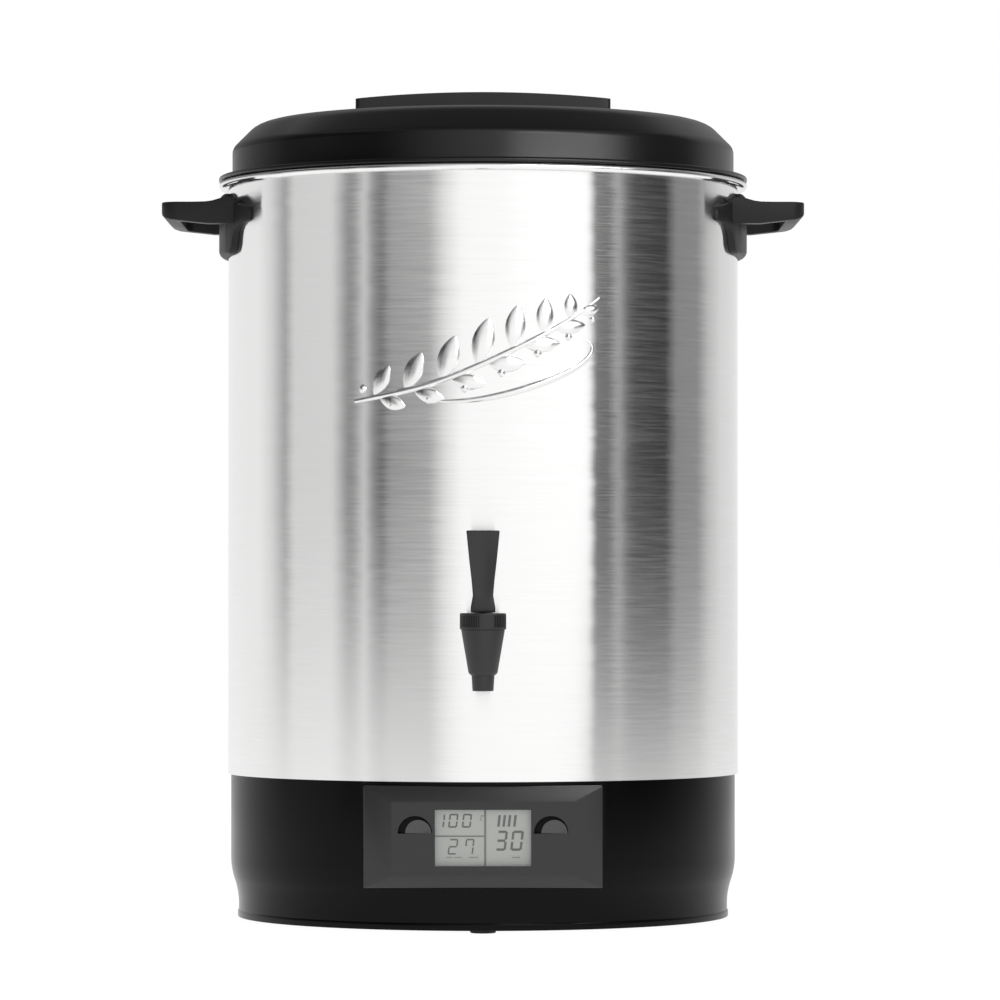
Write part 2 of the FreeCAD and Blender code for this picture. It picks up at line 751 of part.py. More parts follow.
def make_display():
    fit = 0.2
    lens = block("LensFront", (-(window_half_width - fit), panel_front + fit, window_low + fit),
                 (window_half_width - fit, panel_inner_front + fit, window_high - fit))
    flange = block("LensFlange",
                   (-(window_half_width - fit), panel_inner_front, window_low - 1.5),
                   (window_half_width - fit, panel_inner_front + 1.0, window_high + 1.5))
    node(fuse("Lens", lens, flange), "lcd_window")
    module = block("Module", (-(window_half_width - fit), panel_inner_front + 1.0 + fit,
                              window_low - 1.5),
                   (window_half_width - fit, board_front, window_high + 1.5))
    node(module, "lcd_module")
    board_half = panel_half_width - board_inset
    board = block("ControlBoard", (-board_half, board_front, panel_low + 5.5),
                  (board_half, board_back, panel_high - 5.0))
    node(board, "control_board")


def make_keys():
    for side, sign in SIDES.items():
        face = half_moon("KeyFace" + side, key_radius, sign, panel_front,
                         panel_wall + slide_gap + 0.1)
        flange = half_moon("KeyFlange" + side, key_radius + key_flange, sign,
                           panel_inner_front + slide_gap, key_depth - panel_wall - slide_gap)
        edge = key_spread - key_radius
        trim = block("KeyTrim" + side, (edge * sign - 20.0 - sign * 20.0, panel_front - 5.0, 0.0),
                     (edge * sign + 20.0 - sign * 20.0, board_front, panel_high))
        dish_radius = (key_radius * key_radius + key_dish * key_dish) / (key_dish * 2)
        dish = ball("KeyDish" + side, dish_radius, key_spread * sign,
                    panel_front + key_dish - dish_radius, key_height)
        key = cut("Key" + side.title(), fuse("KeySolid" + side, face, flange), trim, dish)
        node(key, side + "_key")
        body_front = board_front - 3.0
        switch = block("SwitchBody" + side,
                       (key_spread * sign - 3.0, body_front, key_height + 2.0),
                       (key_spread * sign + 3.0, board_front, key_height + 8.0))
        nib_front = panel_front + key_depth + key_travel + seat_gap
        nib = rod("SwitchNib" + side, 1.7, body_front - nib_front + 0.2, key_spread * sign,
                  nib_front, key_height + 5.0, "Y")
        node(fuse("Switch" + side.title(), switch, nib), side + "_switch")


# ---------------------------------------------------------------- side handles
def make_handle(side, sign):
    name = "Handle" + side.title()
    inner = body_radius - 30.0
    root = plate_outer + 6.0
    profile = [(inner * sign, handle_top), (handle_tip * sign, handle_top),
               (handle_tip * sign, handle_top - handle_tip_depth),
               (root * sign, handle_top - handle_root_depth),
               (inner * sign, handle_top - handle_root_depth)]
    loop = padded(name + "Loop", "XZ_Plane", profile, -handle_half_width, handle_half_width * 2)
    round_edges(loop, handle_corner, upright_at(handle_tip, handle_half_width))
    tip_low = number(handle_top - handle_tip_depth)

    def under_tip(edge):
        box = edge.BoundBox
        at_tip = abs(abs(box.Center.x) - number(handle_tip)) < 0.5
        return at_tip and box.ZLength < 0.01 and abs(box.ZMin - tip_low) < 0.5

    round_edges(loop, handle_tip_round, under_tip)
    gap_tip = handle_tip - handle_bar
    gap_half = handle_half_width - handle_bar
    gap = block(name + "Gap", (min_size(inner * sign, gap_tip * sign), -gap_half,
                               handle_top - 40.0),
                (max_size(inner * sign, gap_tip * sign), gap_half, handle_top + 10.0))
    web = rod(name + "Web", plate_outer, 80.0, 0.0, 0.0, handle_top - 50.0)
    arms = cut(name + "Arms", loop, cut(name + "Finger", gap, web))
    plate_ring = turned(name + "Ring", [(plate_inner, plate_low), (plate_outer, plate_low),
                                        (plate_outer, plate_top), (plate_inner, plate_top)])
    round_rings(plate_ring, plate_thick * 0.7, (plate_outer, plate_low), (plate_outer, plate_top))
    half = [(wing_half_width, handle_top - 13.8), (wing_half_width, handle_top - 5.8),
            (tab_half_width + 5.0, handle_top - 0.8), (tab_half_width - 27.0, plate_top)]
    low_half = [(tab_half_width - 13.0, plate_low), (tab_half_width - 1.5, plate_low + 4.5),
                (tab_half_width, handle_top - 25.0), (tab_half_width + 6.0, handle_top - 18.5)]
    outline = low_half + half + [(-across, up) for across, up in reversed(low_half + half)]
    start = -handle_tip if sign < 0 else as_size(100.0)
    prism = padded(name + "Outline", "YZ_Plane", outline, start, handle_tip - 100.0)
    plate = common(name + "Plate", plate_ring, prism)
    vessel_space = rod(name + "Vessel", plate_inner, 200.0, 0.0, 0.0, handle_top - 150.0)
    drills = [rod(name + "Bore%d" % index, screw_radius + shaft_gap, 12.0,
                  body_radius * sign - 6.0, 0.0, rim_level - drop, "X")
              for index, drop in enumerate((upper_screw_drop, lower_screw_drop))]
    solid = fuse(name + "Solid", arms, plate)
    node(cut(name, solid, vessel_space, *drills), side + "_handle")


def min_size(first, second):
    return first if number(first) < number(second) else second


def max_size(first, second):
    return second if number(first) < number(second) else first


def make_handle_screws(side, sign):
    """Screws and sealing washers inside the vessel, along X."""
    washer_thick = 2.0
    face = vessel_inner - seat_gap
    turn = ALONG["X"] if sign > 0 else FreeCAD.Rotation(Vector(0, 1, 0), -90)
    for level, drop in (("upper", upper_screw_drop), ("lower", lower_screw_drop)):
        height = rim_level - drop
        label = "%s_handle_%s" % (side, level)
        start = face - washer_thick
        washer = turned(label + "_washer_turned", [
            (screw_radius + shaft_gap, 0.0), (6.0, 0.0), (6.0, washer_thick),
            (screw_radius + shaft_gap, washer_thick)])
        node(move(washer, start * sign, 0.0, height, turn), label + "_washer")
        bolt = screw(label + "_screw_turned", 4.5, 2.6, as_size(washer_thick) + vessel_wall + 4.0)
        node(move(bolt, (start - 2.6) * sign, 0.0, height, turn), label + "_screw")


# ---------------------------------------------------------------- tap
def make_tap_body():
    bore_low = cone_top - 6.0
    seat_low = spout_top + 2.9
    seat_high = seat_low + 4.5
    cavity = cone_high_radius - 3.3
    shell = turned("TapTurned", [
        (seat_radius, spout_low), (spout_radius, spout_low), (spout_radius, spout_top),
        (cone_low_radius, spout_top), (cone_high_radius, cone_top), (cavity, cone_top),
        (cavity, bore_low), (cavity - 0.9, bore_low - 1.0), (seat_radius + 2.1, seat_high),
        (seat_radius, seat_low)])
    move(shell, 0.0, tap_axis, 0.0)
    inside_end = -(vessel_inner - shank_length)
    shank = rod("TapShank", shank_radius, inside_end - tap_axis, 0.0, tap_axis, tap_height, "Y")
    shoulder = rod("TapShoulder", shoulder_radius, 4.0, 0.0,
                   -(body_radius + seat_gap + 2.5 + 4.0), tap_height, "Y")
    space = turned("TapSpace", [
        (0.0, spout_low), (seat_radius, spout_low), (seat_radius, seat_low),
        (seat_radius + 2.1, seat_high), (cavity - 0.9, bore_low - 1.0), (cavity, bore_low),
        (cavity, cone_top + 5.0), (0.0, cone_top + 5.0)])
    move(space, 0.0, tap_axis, 0.0)
    bore = rod("TapBore", shank_bore, inside_end - tap_axis + 5.0, 0.0, tap_axis, tap_height, "Y")
    solid = fuse("TapSolid", shell, shank, shoulder)
    node(cut("TapBody", solid, space, bore), "tap_body")


def make_tap_fixings():
    outer_face = -(body_radius + seat_gap)
    gaskets = {"tap_gasket_outer": outer_face - 2.5, "tap_gasket_inner": -(vessel_inner - 0.7)}
    for label, start in gaskets.items():
        disc = rod(label + "_disc", shoulder_radius + 1.0, 2.3, 0.0, start, tap_height, "Y")
        hole = rod(label + "_hole", shank_radius + shaft_gap, 10.0, 0.0, start - 3.0,
                   tap_height, "Y")
        node(cut(label + "_cut", disc, hole), label)
    nut = doc.addObject("Part::Prism", "TapNutHex")
    nut.Polygon = 6
    bind(nut, "Circumradius", shank_radius + 6.0)
    nut.Height = 7
    nut_start = gaskets["tap_gasket_inner"] + 2.3
    move(nut, 0.0, nut_start, tap_height, ALONG["Y"])
    hole = rod("TapNutBore", shank_radius + shaft_gap, 20.0, 0.0, nut_start - 3.0,
               tap_height, "Y")
    node(cut("TapNut", nut, hole), "tap_nut")


def make_tap_bonnet():
    skirt = cone_high_radius - 3.3 - slide_gap
    hole = stem_radius + shaft_gap
    cap = turned("BonnetTurned", [
        (skirt - 1.8, cone_top - 5.0), (skirt, cone_top - 5.0), (skirt, cone_top),
        (bonnet_radius, cone_top), (bonnet_radius, bonnet_top), (hole, bonnet_top),
        (hole, bonnet_top - 3.5), (skirt - 1.8, bonnet_top - 3.5)])
    round_rings(cap, 0.8, (bonnet_radius, bonnet_top))
    node(move(cap, 0.0, tap_axis, 0.0), "tap_bonnet")


def make_tap_plunger():
    seat_low = spout_top + 2.9
    cup_low = seat_low + 0.3
    cup_high = seat_low + 10.5
    cup = turned("CupTurned", [
        (0.0, cup_low), (seat_radius - 0.18, cup_low), (seat_radius + 1.8, cup_low + 4.3),
        (seat_radius + 1.8, cup_high), (stem_radius + shaft_gap, cup_high),
        (stem_radius + shaft_gap, cup_low + 3.2), (0.0, cup_low + 3.2)])
    node(move(cup, 0.0, tap_axis, 0.0), "tap_seat_cup")
    stem_low = cup_low + 3.3
    shaft = rod("StemShaft", stem_radius, lever_pin_level + 3.0 - stem_low, 0.0, tap_axis,
                stem_low)
    cross = rod("StemCross", lever_pin_radius + shaft_gap, 20.0, -10.0, tap_axis,
                lever_pin_level, "X")
    node(cut("Stem", shaft, cross), "tap_stem")
    pin = rod("LeverPin", lever_pin_radius, lever_base_half * 2 - 1.0,
              -(lever_base_half - 0.5), tap_axis, lever_pin_level, "X")
    node(pin, "tap_lever_pin")
    spring_low = cup_high + 0.1
    spring_high = bonnet_top - 3.6
    spring_coil("tap_spring", number(spring_low), number(spring_high), 5.0, 0.45, 5.5)


def spring_coil(label, low, high, radius, wire, turns):
    """A round wire coil about the tap's axis."""
    start = low + wire
    tall = high - low - wire * 2
    helix = Part.makeHelix(tall / turns, tall, radius)
    direction = Vector(0, 2 * math.pi * radius, tall / turns)
    section = Part.Wire([Part.Circle(Vector(radius, 0, 0), direction, wire).toShape()])
    coil = doc.addObject("Part::Feature", label)
    coil.Shape = Part.Wire(helix).makePipeShell([section], True, True)
    coil.Placement = FreeCAD.Placement(Vector(0, number(tap_axis), start), FreeCAD.Rotation())
    return node(coil, label)


def make_tap_lever():
    """Paddle over a slotted base that turns on the pin in the stem."""
    base_low = bonnet_top + 0.3
    base_top_level = bonnet_top + 8.2
    neck = bonnet_top + 9.6
    top = bonnet_top + lever_height
    outline = [(-lever_base_half, base_low), (lever_base_half, base_low),
               (lever_base_half, base_top_level), (lever_low_half, neck),
               (lever_high_half, top), (-lever_high_half, top), (-lever_low_half, neck),
               (-lever_base_half, base_top_level)]
    front = padded("LeverFront", "XZ_Plane", outline, -(tap_axis + 6.5), 13.0)
    side = padded("LeverSide", "YZ_Plane", [
        (tap_axis - 6.5, base_low), (tap_axis + 6.5, base_low),
        (tap_axis + 6.5, base_top_level), (tap_axis + 4.6, neck), (tap_axis + 2.6, top),
        (tap_axis - 3.2, top), (tap_axis - 4.2, neck), (tap_axis - 6.5, base_top_level)],
        -20.0, 40.0)
    paddle = common("LeverSolid", front, side)
    slot_half = stem_radius + slide_gap
    slot = block("LeverSlot", (-slot_half, tap_axis - 8.0, base_low - 1.0),
                 (slot_half, tap_axis + 8.0, lever_pin_level + 4.5))
    cross = rod("LeverCross", lever_pin_radius + shaft_gap, 30.0, -15.0, tap_axis,
                lever_pin_level, "X")
    node(cut("Lever", paddle, slot, cross), "tap_lever")


# ---------------------------------------------------------------- lid
def make_lid():
    inner_wall = lid_wall_radius - lid_wall
    flange_top = lid_level + lid_flange_thick
    skirt_outer = vessel_inner - skirt_gap
    skirt_low = lid_level - lid_skirt_drop
    slant = lid_wall * 0.41
    shell = turned("LidTurned", [
        (skirt_outer, skirt_low), (skirt_outer, lid_level), (lid_flange_radius, lid_level),
        (lid_flange_radius, flange_top), (lid_wall_radius, flange_top),
        (lid_wall_radius, lid_shoulder), (lid_top_radius, lid_top), (well_radius, lid_top),
        (well_radius - 2.0, well_floor), (0.0, well_floor), (0.0, well_floor - lid_wall),
        (well_radius - 2.0 + lid_wall, well_floor - lid_wall),
        (well_radius + lid_wall, lid_top - lid_wall),
        (lid_top_radius - slant, lid_top - lid_wall), (inner_wall, lid_shoulder - slant),
        (inner_wall, skirt_low)])
    round_rings(shell, 1.2, (lid_flange_radius, flange_top), (lid_wall_radius, flange_top))
    round_rings(shell, 2.0, (lid_wall_radius, lid_shoulder), (lid_top_radius, lid_top))
    round_rings(shell, 3.0, (well_radius, lid_top))
    round_rings(shell, 6.0, (well_radius - 2.0, well_floor))
    drills = [rod("LidScrewHole" + side, screw_radius + seat_gap, 10.0, GRIP_SCREW * sign, 0.0,
                  lid_top - 6.0) for side, sign in SIDES.items()]
    # The upright rim and the cover over it are two mouldings that meet below the shoulder.
    space_low = skirt_low - 5.0
    space_tall = lid_shoulder - slant - space_low
    rim_space = cut("LidRimSpace",
                    rod("LidRimOuter", lid_flange_radius + 5.0, space_tall, 0.0, 0.0, space_low),
                    rod("LidRimInner", lid_top_radius, space_tall + 10.0, 0.0, 0.0,
                        space_low - 5.0))
    node(common("LidRim", shell, rim_space), "lid_rim")
    node(cut("Lid", shell, rim_space, *drills), "lid_shell")


GRIP_SCREW = grip_half_length - 9.5


def arched_block(name, inset):
    """The grip's outer or inner form: a box under a wide arch."""
    half = grip_half_length - inset
    depth = grip_half_depth - inset
    arch = (grip_half_length * grip_half_length + grip_sag * grip_sag) / (grip_sag * 2)
    box = block(name + "Box", (-half, -depth, lid_top - as_size(inset)),
                (half, depth, grip_top + 1.0))
    crown = rod(name + "Crown", arch - inset, depth * 2 + 2.0, 0.0, -(depth + 1.0),
                grip_top - arch, "Y")
    return common(name, box, crown)


def round_block(name, piece, radius, wanted):
    """Fillet picked edges of a finished block."""
    doc.recompute()
    fillet = doc.addObject("Part::Fillet", name)
    fillet.Base = piece
    picks = [index + 1 for index, edge in enumerate(piece.Shape.Edges) if wanted(edge)]
    fillet.Edges = [(pick, radius, radius) for pick in picks]
    doc.recompute()
    return fillet


def make_grip():
    outer = arched_block("GripOuter", 0.0)
    outer = round_block("GripCorners", outer, 3.0, upright_at(grip_half_length, grip_half_depth))
    crest = number(lid_top) + 5.0
    outer = round_block("GripCrest", outer, 1.5, lambda edge: edge.BoundBox.ZMin > crest)
    inner = arched_block("GripInner", grip_wall)
    relief = block("GripRelief", (-(well_radius - 2.0), -(grip_half_depth + 1.0), lid_top - 1.0),
                   (well_radius - 2.0, grip_half_depth + 1.0, lid_top + grip_lift))
    posts = []
    bores = []
    for side, sign in SIDES.items():
        posts.append(rod("GripPost" + side, 4.5, grip_height - grip_sag - 1.0, GRIP_SCREW * sign,
                         0.0, lid_top))
        bores.append(rod("GripBore" + side, screw_radius + shaft_gap, 10.0,
                         GRIP_SCREW * sign, 0.0, lid_top - 1.0))
    hollow = cut("GripHollow", outer, inner, relief)
    node(cut("Grip", fuse("GripWithPosts", hollow, *posts), *bores), "lid_grip")
    for side, sign in SIDES.items():
        bolt = screw("GripScrew" + side, 4.2, 2.4, lid_wall + 8.0)
        move(bolt, GRIP_SCREW * sign, 0.0, lid_top - lid_wall - 2.4)
        node(bolt, "lid_grip_screw_" + side)


# ---------------------------------------------------------------- build, check, write
def main():
    make_vessel()
    make_base_housing()
    make_base_cover()
    make_feet()
    make_base_screws()
    make_seal_ring()
    make_heater()
    make_sensor()
    make_power_board()
    make_leads()
    make_gland()
    make_panel()
    make_display()
    make_keys()
    for side, sign in SIDES.items():
        make_handle(side, sign)
        make_handle_screws(side, sign)
    make_tap_body()
    make_tap_fixings()
    make_tap_bonnet()
    make_tap_plunger()
    make_tap_lever()
    make_lid()
    make_grip()
    doc.recompute()

    for item in doc.Objects:
        if "Invalid" in item.State or "Error" in item.State:
            raise ValueError("%s (%s) failed: %s" % (item.Name, item.Label, item.State))
    os.makedirs("parts", exist_ok=True)
    for piece in NODES:
        shape = piece.Shape
        if shape.isNull() or not shape.isValid() or not shape.Solids:
            raise ValueError("%s has no valid solid" % piece.Label)
        if len(shape.Solids) != 1:
            raise ValueError("%s has %d solids" % (piece.Label, len(shape.Solids)))
    for piece in NODES:
        piece.Shape.exportStep("parts/%s.step" % piece.Label)
    print("%d sub-parts written" % len(NODES))


main()
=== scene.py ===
# %% [markdown]
# # A preserving kettle, dressed for its picture
# The real object is a tall steel drum on a black heated base, with a small display, a lever tap,
# two side handles and a lift-off lid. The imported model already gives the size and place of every
# part. This lesson adds the looks: smoother shells, rounded edges, and a finish on every surface.
# It could all be done with meshes typed in as numbers. Working with the same tools that a person
# uses by hand is easier to follow and to change, so that is the way here.

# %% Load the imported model
import json
import math

import bmesh
import bpy
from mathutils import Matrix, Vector


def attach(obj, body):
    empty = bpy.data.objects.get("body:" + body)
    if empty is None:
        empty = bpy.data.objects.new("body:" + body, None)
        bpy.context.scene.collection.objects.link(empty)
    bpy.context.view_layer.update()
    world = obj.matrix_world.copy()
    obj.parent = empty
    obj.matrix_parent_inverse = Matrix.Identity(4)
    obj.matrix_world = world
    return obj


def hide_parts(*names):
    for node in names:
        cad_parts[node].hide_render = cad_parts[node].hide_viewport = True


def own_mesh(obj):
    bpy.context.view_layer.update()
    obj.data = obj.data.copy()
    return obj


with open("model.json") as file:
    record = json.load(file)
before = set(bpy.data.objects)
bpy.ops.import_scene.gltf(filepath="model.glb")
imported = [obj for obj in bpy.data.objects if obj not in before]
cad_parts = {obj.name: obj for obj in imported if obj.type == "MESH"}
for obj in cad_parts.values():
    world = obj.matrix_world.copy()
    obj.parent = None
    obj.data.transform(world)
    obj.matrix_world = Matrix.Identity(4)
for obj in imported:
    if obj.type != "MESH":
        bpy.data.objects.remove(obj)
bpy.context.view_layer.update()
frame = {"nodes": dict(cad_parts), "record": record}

# %% [markdown]
# ## Tools for the bench
# Almost every piece is made in the same few moves: start a primitive, pick some of it by its
# place, push or round the pick, and apply. The moves are kept as short helpers. Sizes are written
# in millimetres, as on a drawing, and turned into metres by one factor.

# %% Selecting and editing
MM = 0.001


def deselect():
    bpy.ops.object.select_all(action="DESELECT")


def take(piece):
    """Make one piece the selected and active object."""
    deselect()
    piece.select_set(True)
    bpy.context.view_layer.objects.active = piece
    return piece


def start_shaping(piece):
    take(piece)
    bpy.ops.object.mode_set(mode="EDIT")


def stop_shaping():
    bpy.ops.object.mode_set(mode="OBJECT")


def pick(piece, kind, wanted):
    """Select the VERTs, EDGEs or FACEs whose middle, in millimetres, is wanted."""
    bpy.ops.mesh.select_mode(type=kind)
    bpy.ops.mesh.select_all(action="DESELECT")
    mesh = bmesh.from_edit_mesh(piece.data)
    items = {"VERT": mesh.verts, "EDGE": mesh.edges, "FACE": mesh.faces}[kind]
    count = 0
    for item in items:
        corners = [item] if kind == "VERT" else item.verts
        middle = sum((v.co for v in corners), Vector()) / len(corners) / MM
        if wanted(middle, item):
            item.select_set(True)
            count += 1
    mesh.select_flush_mode()
    bmesh.update_edit_mesh(piece.data)
    return count


# %% Starting shapes
def settle(piece, name):
    """Name a new primitive and move its place, turn and scale into its mesh."""
    piece.name = name
    piece.data.name = name
    take(piece)
    bpy.ops.object.transform_apply(location=True, rotation=True, scale=True)
    return piece


def new_block(name, low, high):
    """A box between two corners."""
    deselect()
    low, high = Vector(low) * MM, Vector(high) * MM
    bpy.ops.mesh.primitive_cube_add(size=1, location=(low + high) / 2)
    bpy.context.object.scale = high - low
    return settle(bpy.context.object, name)


TURNS = {"X": (0, math.pi / 2, 0), "Y": (math.pi / 2, 0, 0), "Z": (0, 0, 0)}


def new_rod(name, radius, low, high, axis="Z", sides=64):
    """A round bar from one end point to the other along an axis."""
    deselect()
    low, high = Vector(low) * MM, Vector(high) * MM
    bpy.ops.mesh.primitive_cylinder_add(vertices=sides, radius=radius * MM,
                                        depth=(high - low).length,
                                        location=(low + high) / 2, rotation=TURNS[axis])
    return settle(bpy.context.object, name)


# %% Modifiers that are applied at once
def apply_last(piece):
    take(piece)
    bpy.ops.object.modifier_apply(modifier=piece.modifiers[-1].name)


def soften(piece, width, segments=3, angle=30):
    """Round every edge sharper than an angle."""
    bevel = piece.modifiers.new("soft edges", "BEVEL")
    bevel.width = width * MM
    bevel.segments = segments
    bevel.limit_method = "ANGLE"
    bevel.angle_limit = math.radians(angle)
    bevel.harden_normals = False
    apply_last(piece)


def combine(piece, tool, way="DIFFERENCE"):
    """Cut, join or keep the overlap with a second solid, which is used up."""
    boolean = piece.modifiers.new(way.lower(), "BOOLEAN")
    boolean.operation = way
    boolean.object = tool
    boolean.solver = "EXACT"
    apply_last(piece)
    bpy.data.objects.remove(tool)


def smooth(piece, angle=35):
    take(piece)
    bpy.ops.object.shade_smooth_by_angle(angle=math.radians(angle))


# %% [markdown]
# ## Turned shells
# The drum, the base, the lid and the tap are round, so each is drawn as half of its section and
# spun about its axis, as on a lathe. The section is drawn by extruding one vertex from corner to
# corner. A corner that carries a third number is rounded by a vertex bevel before the spin.

# %% Draw a section and spin it
def turned(name, section, steps=160, closed=True, centre=(0.0, 0.0)):
    """Spin a section of (radius, height[, rounding]) corners about an upright axis."""
    deselect()
    cx, cy = centre[0] * MM, centre[1] * MM
    bpy.ops.mesh.primitive_plane_add(size=0.001)
    piece = bpy.context.object
    piece.name = piece.data.name = name
    bpy.ops.object.mode_set(mode="EDIT")
    bpy.ops.mesh.select_mode(type="VERT")
    bpy.ops.mesh.select_all(action="SELECT")
    bpy.ops.mesh.merge(type="CENTER")
    places = [Vector((cx + corner[0] * MM, cy, corner[1] * MM)) for corner in section]
    bpy.ops.transform.translate(value=places[0])
    for here, there in zip(places, places[1:]):
        bpy.ops.mesh.extrude_vertices_move(TRANSFORM_OT_translate={"value": there - here})
    if closed:
        ends = (places[0] / MM, places[-1] / MM)
        pick(piece, "VERT", lambda at, _: min((at - end).length for end in ends) < 0.001)
        bpy.ops.mesh.edge_face_add()
    for corner, place in zip(section, places):
        if len(corner) > 2:
            pick(piece, "VERT", lambda at, _: (at - place / MM).length < 0.001)
            bpy.ops.mesh.bevel(offset=corner[2] * MM, segments=5, affect="VERTICES",
                               offset_type="OFFSET")
    bpy.ops.mesh.select_all(action="SELECT")
    bpy.ops.mesh.spin(steps=steps, angle=math.tau, center=(cx, cy, 0), axis=(0, 0, 1))
    bpy.ops.mesh.select_all(action="SELECT")
    bpy.ops.mesh.remove_doubles(threshold=0.000002)
    bpy.ops.mesh.normals_make_consistent(inside=False)
    bpy.ops.object.mode_set(mode="OBJECT")
    print(name, len(piece.data.vertices), "vertices")
    return piece


# %% [markdown]
# ## The camera
# A long lens far in front, at a little less than half the height, keeps the upright sides of the
# drum upright. It is turned a touch up and to the right to place the kettle in the frame.

# %% Camera
camera_data = bpy.data.cameras.new("camera")
camera_data.lens = 183.24
camera_data.sensor_width = 36.0
camera_data.clip_end = 60.0
camera = bpy.data.objects.new("camera", camera_data)
bpy.context.scene.collection.objects.link(camera)
camera.location = (0.0, -3.5, 0.225)
camera.rotation_euler = (math.radians(91.013), 0.0, math.radians(-0.191))
bpy.context.scene.camera = camera
bpy.context.scene.view_settings.view_transform = "Standard"
print("camera at", tuple(camera.location))

# %% [markdown]
# ## The studio
# Polished steel shows the room more than itself, so the room is part of the finish. A round wall
# of soft light stands about the kettle, out of the camera's sight, with darker flags in it. They
# make the long upright bands on the drum. A ring with one ramp round it is used rather than many
# lamps, because each band's place and tone is then one stop of the ramp.

# %% Grey tones as the eye reads them
def tone(grey):
    """Linear light for a display grey from 0 to 255."""
    share = grey / 255
    return share / 12.92 if share <= 0.04045 else ((share + 0.055) / 1.055) ** 2.4


def node_tree(name):
    """A new empty material, its nodes and a short way to wire them."""
    finish = bpy.data.materials.new(name)
    finish.use_nodes = True
    finish.node_tree.nodes.clear()
    return finish, finish.node_tree.nodes, finish.node_tree.links.new


def add_node(nodes, kind, **settings):
    node = nodes.new(kind)
    for key, value in settings.items():
        if key in node.inputs:
            node.inputs[key].default_value = value
        else:
            setattr(node, key, value)
    return node


def fill_ramp(ramp, stops):
    """Give a colour ramp its stops of (place, grey level)."""
    points = ramp.color_ramp.elements
    while len(points) < len(stops):
        points.new(0.5)
    for point, (place, level) in zip(points, stops):
        point.position = place
        point.color = (level, level, level, 1.0)


# %% The wall of light and its flags
BANDS = [(-180, 225), (-116, 226), (-106, 206), (-96, 148), (-90, 202), (-68, 204), (-60, 112),
         (-57, 122), (-52, 190), (-48, 112), (-44, 48), (-40, 126), (-30, 136), (-23, 142),
         (-16, 212), (-9, 244), (46, 250), (49, 20), (55, 30), (60, 142), (65, 60), (69, 12),
         (86, 6), (93, 122), (108, 126), (118, 180), (130, 205), (180, 225)]
LOW_BANDS = [(-180, 225), (-140, 230), (-104, 219), (-74, 223), (-44, 222), (-22, 208), (-13, 236),
             (-4, 246), (30, 246), (40, 236), (48, 160), (74, 150), (88, 158), (102, 180),
             (120, 208), (180, 225)]
HIGH_BANDS = [(-180, 150), (-110, 120), (-98, 60), (-44, 58), (-22, 200), (0, 255), (44, 255),
              (60, 215), (80, 120), (104, 96), (120, 200), (180, 150)]
wall_finish, nodes, wire = node_tree("studio_wall_light")
place = add_node(nodes, "ShaderNodeTexCoord")
split = add_node(nodes, "ShaderNodeSeparateXYZ")
wire(place.outputs["Object"], split.inputs[0])
front = add_node(nodes, "ShaderNodeMath", operation="MULTIPLY")
front.inputs[1].default_value = -1.0
wire(split.outputs["Y"], front.inputs[0])
angle = add_node(nodes, "ShaderNodeMath", operation="ARCTAN2")
wire(split.outputs["X"], angle.inputs[0])
wire(front.outputs[0], angle.inputs[1])
share = add_node(nodes, "ShaderNodeMapRange")
share.inputs["From Min"].default_value = -math.pi
share.inputs["From Max"].default_value = math.pi
wire(angle.outputs[0], share.inputs["Value"])


def ring_of_bands(stops, gain):
    ramp = add_node(nodes, "ShaderNodeValToRGB")
    fill_ramp(ramp, [((at + 180) / 360, tone(grey) * gain) for at, grey in stops])
    wire(share.outputs[0], ramp.inputs[0])
    return ramp.outputs[0]


def blend_upwards(low_light, high_light, start, end):
    """One ring of light below a height, another above, with a soft change between."""
    rise = add_node(nodes, "ShaderNodeMapRange", interpolation_type="SMOOTHSTEP")
    rise.inputs["From Min"].default_value = start
    rise.inputs["From Max"].default_value = end
    wire(split.outputs["Z"], rise.inputs["Value"])
    mix = add_node(nodes, "ShaderNodeMix", data_type="RGBA")
    wire(rise.outputs[0], mix.inputs[0])
    wire(low_light, mix.inputs[6])
    wire(high_light, mix.inputs[7])
    return mix.outputs[2]


main_light = blend_upwards(ring_of_bands(LOW_BANDS, 1.16), ring_of_bands(BANDS, 1.16), 0.05, 0.25)
wall_light = blend_upwards(main_light, ring_of_bands(HIGH_BANDS, 1.0), 0.62, 0.78)
glow = add_node(nodes, "ShaderNodeEmission")
wire(wall_light, glow.inputs["Color"])
out = add_node(nodes, "ShaderNodeOutputMaterial")
wire(glow.outputs[0], out.inputs[0])

deselect()
bpy.ops.mesh.primitive_cylinder_add(vertices=180, radius=2.0, depth=2.0, end_fill_type="NOTHING",
                                    location=(0, 0, 1.0))
wall = settle(bpy.context.object, "studio_wall")
wall.data.materials.append(wall_finish)
wall.visible_camera = False
wall.visible_shadow = False
print("studio wall with", len(BANDS), "tones")

# %% The pale floor
floor_finish, nodes, wire = node_tree("studio_floor")
matt = add_node(nodes, "ShaderNodeBsdfDiffuse", Color=(0.9, 0.9, 0.9, 1))
glow = add_node(nodes, "ShaderNodeEmission", Strength=0.98)
both = add_node(nodes, "ShaderNodeAddShader")
half = add_node(nodes, "ShaderNodeMixShader")
half.inputs[0].default_value = 0.12
dark = add_node(nodes, "ShaderNodeEmission", Strength=0.0)
wire(dark.outputs[0], half.inputs[1])
wire(matt.outputs[0], half.inputs[2])
wire(half.outputs[0], both.inputs[0])
wire(glow.outputs[0], both.inputs[1])
out = add_node(nodes, "ShaderNodeOutputMaterial")
wire(both.outputs[0], out.inputs[0])
deselect()
bpy.ops.mesh.primitive_plane_add(size=60.0, location=(0, 0, 0))
ground = settle(bpy.context.object, "studio_floor")
ground.data.materials.append(floor_finish)

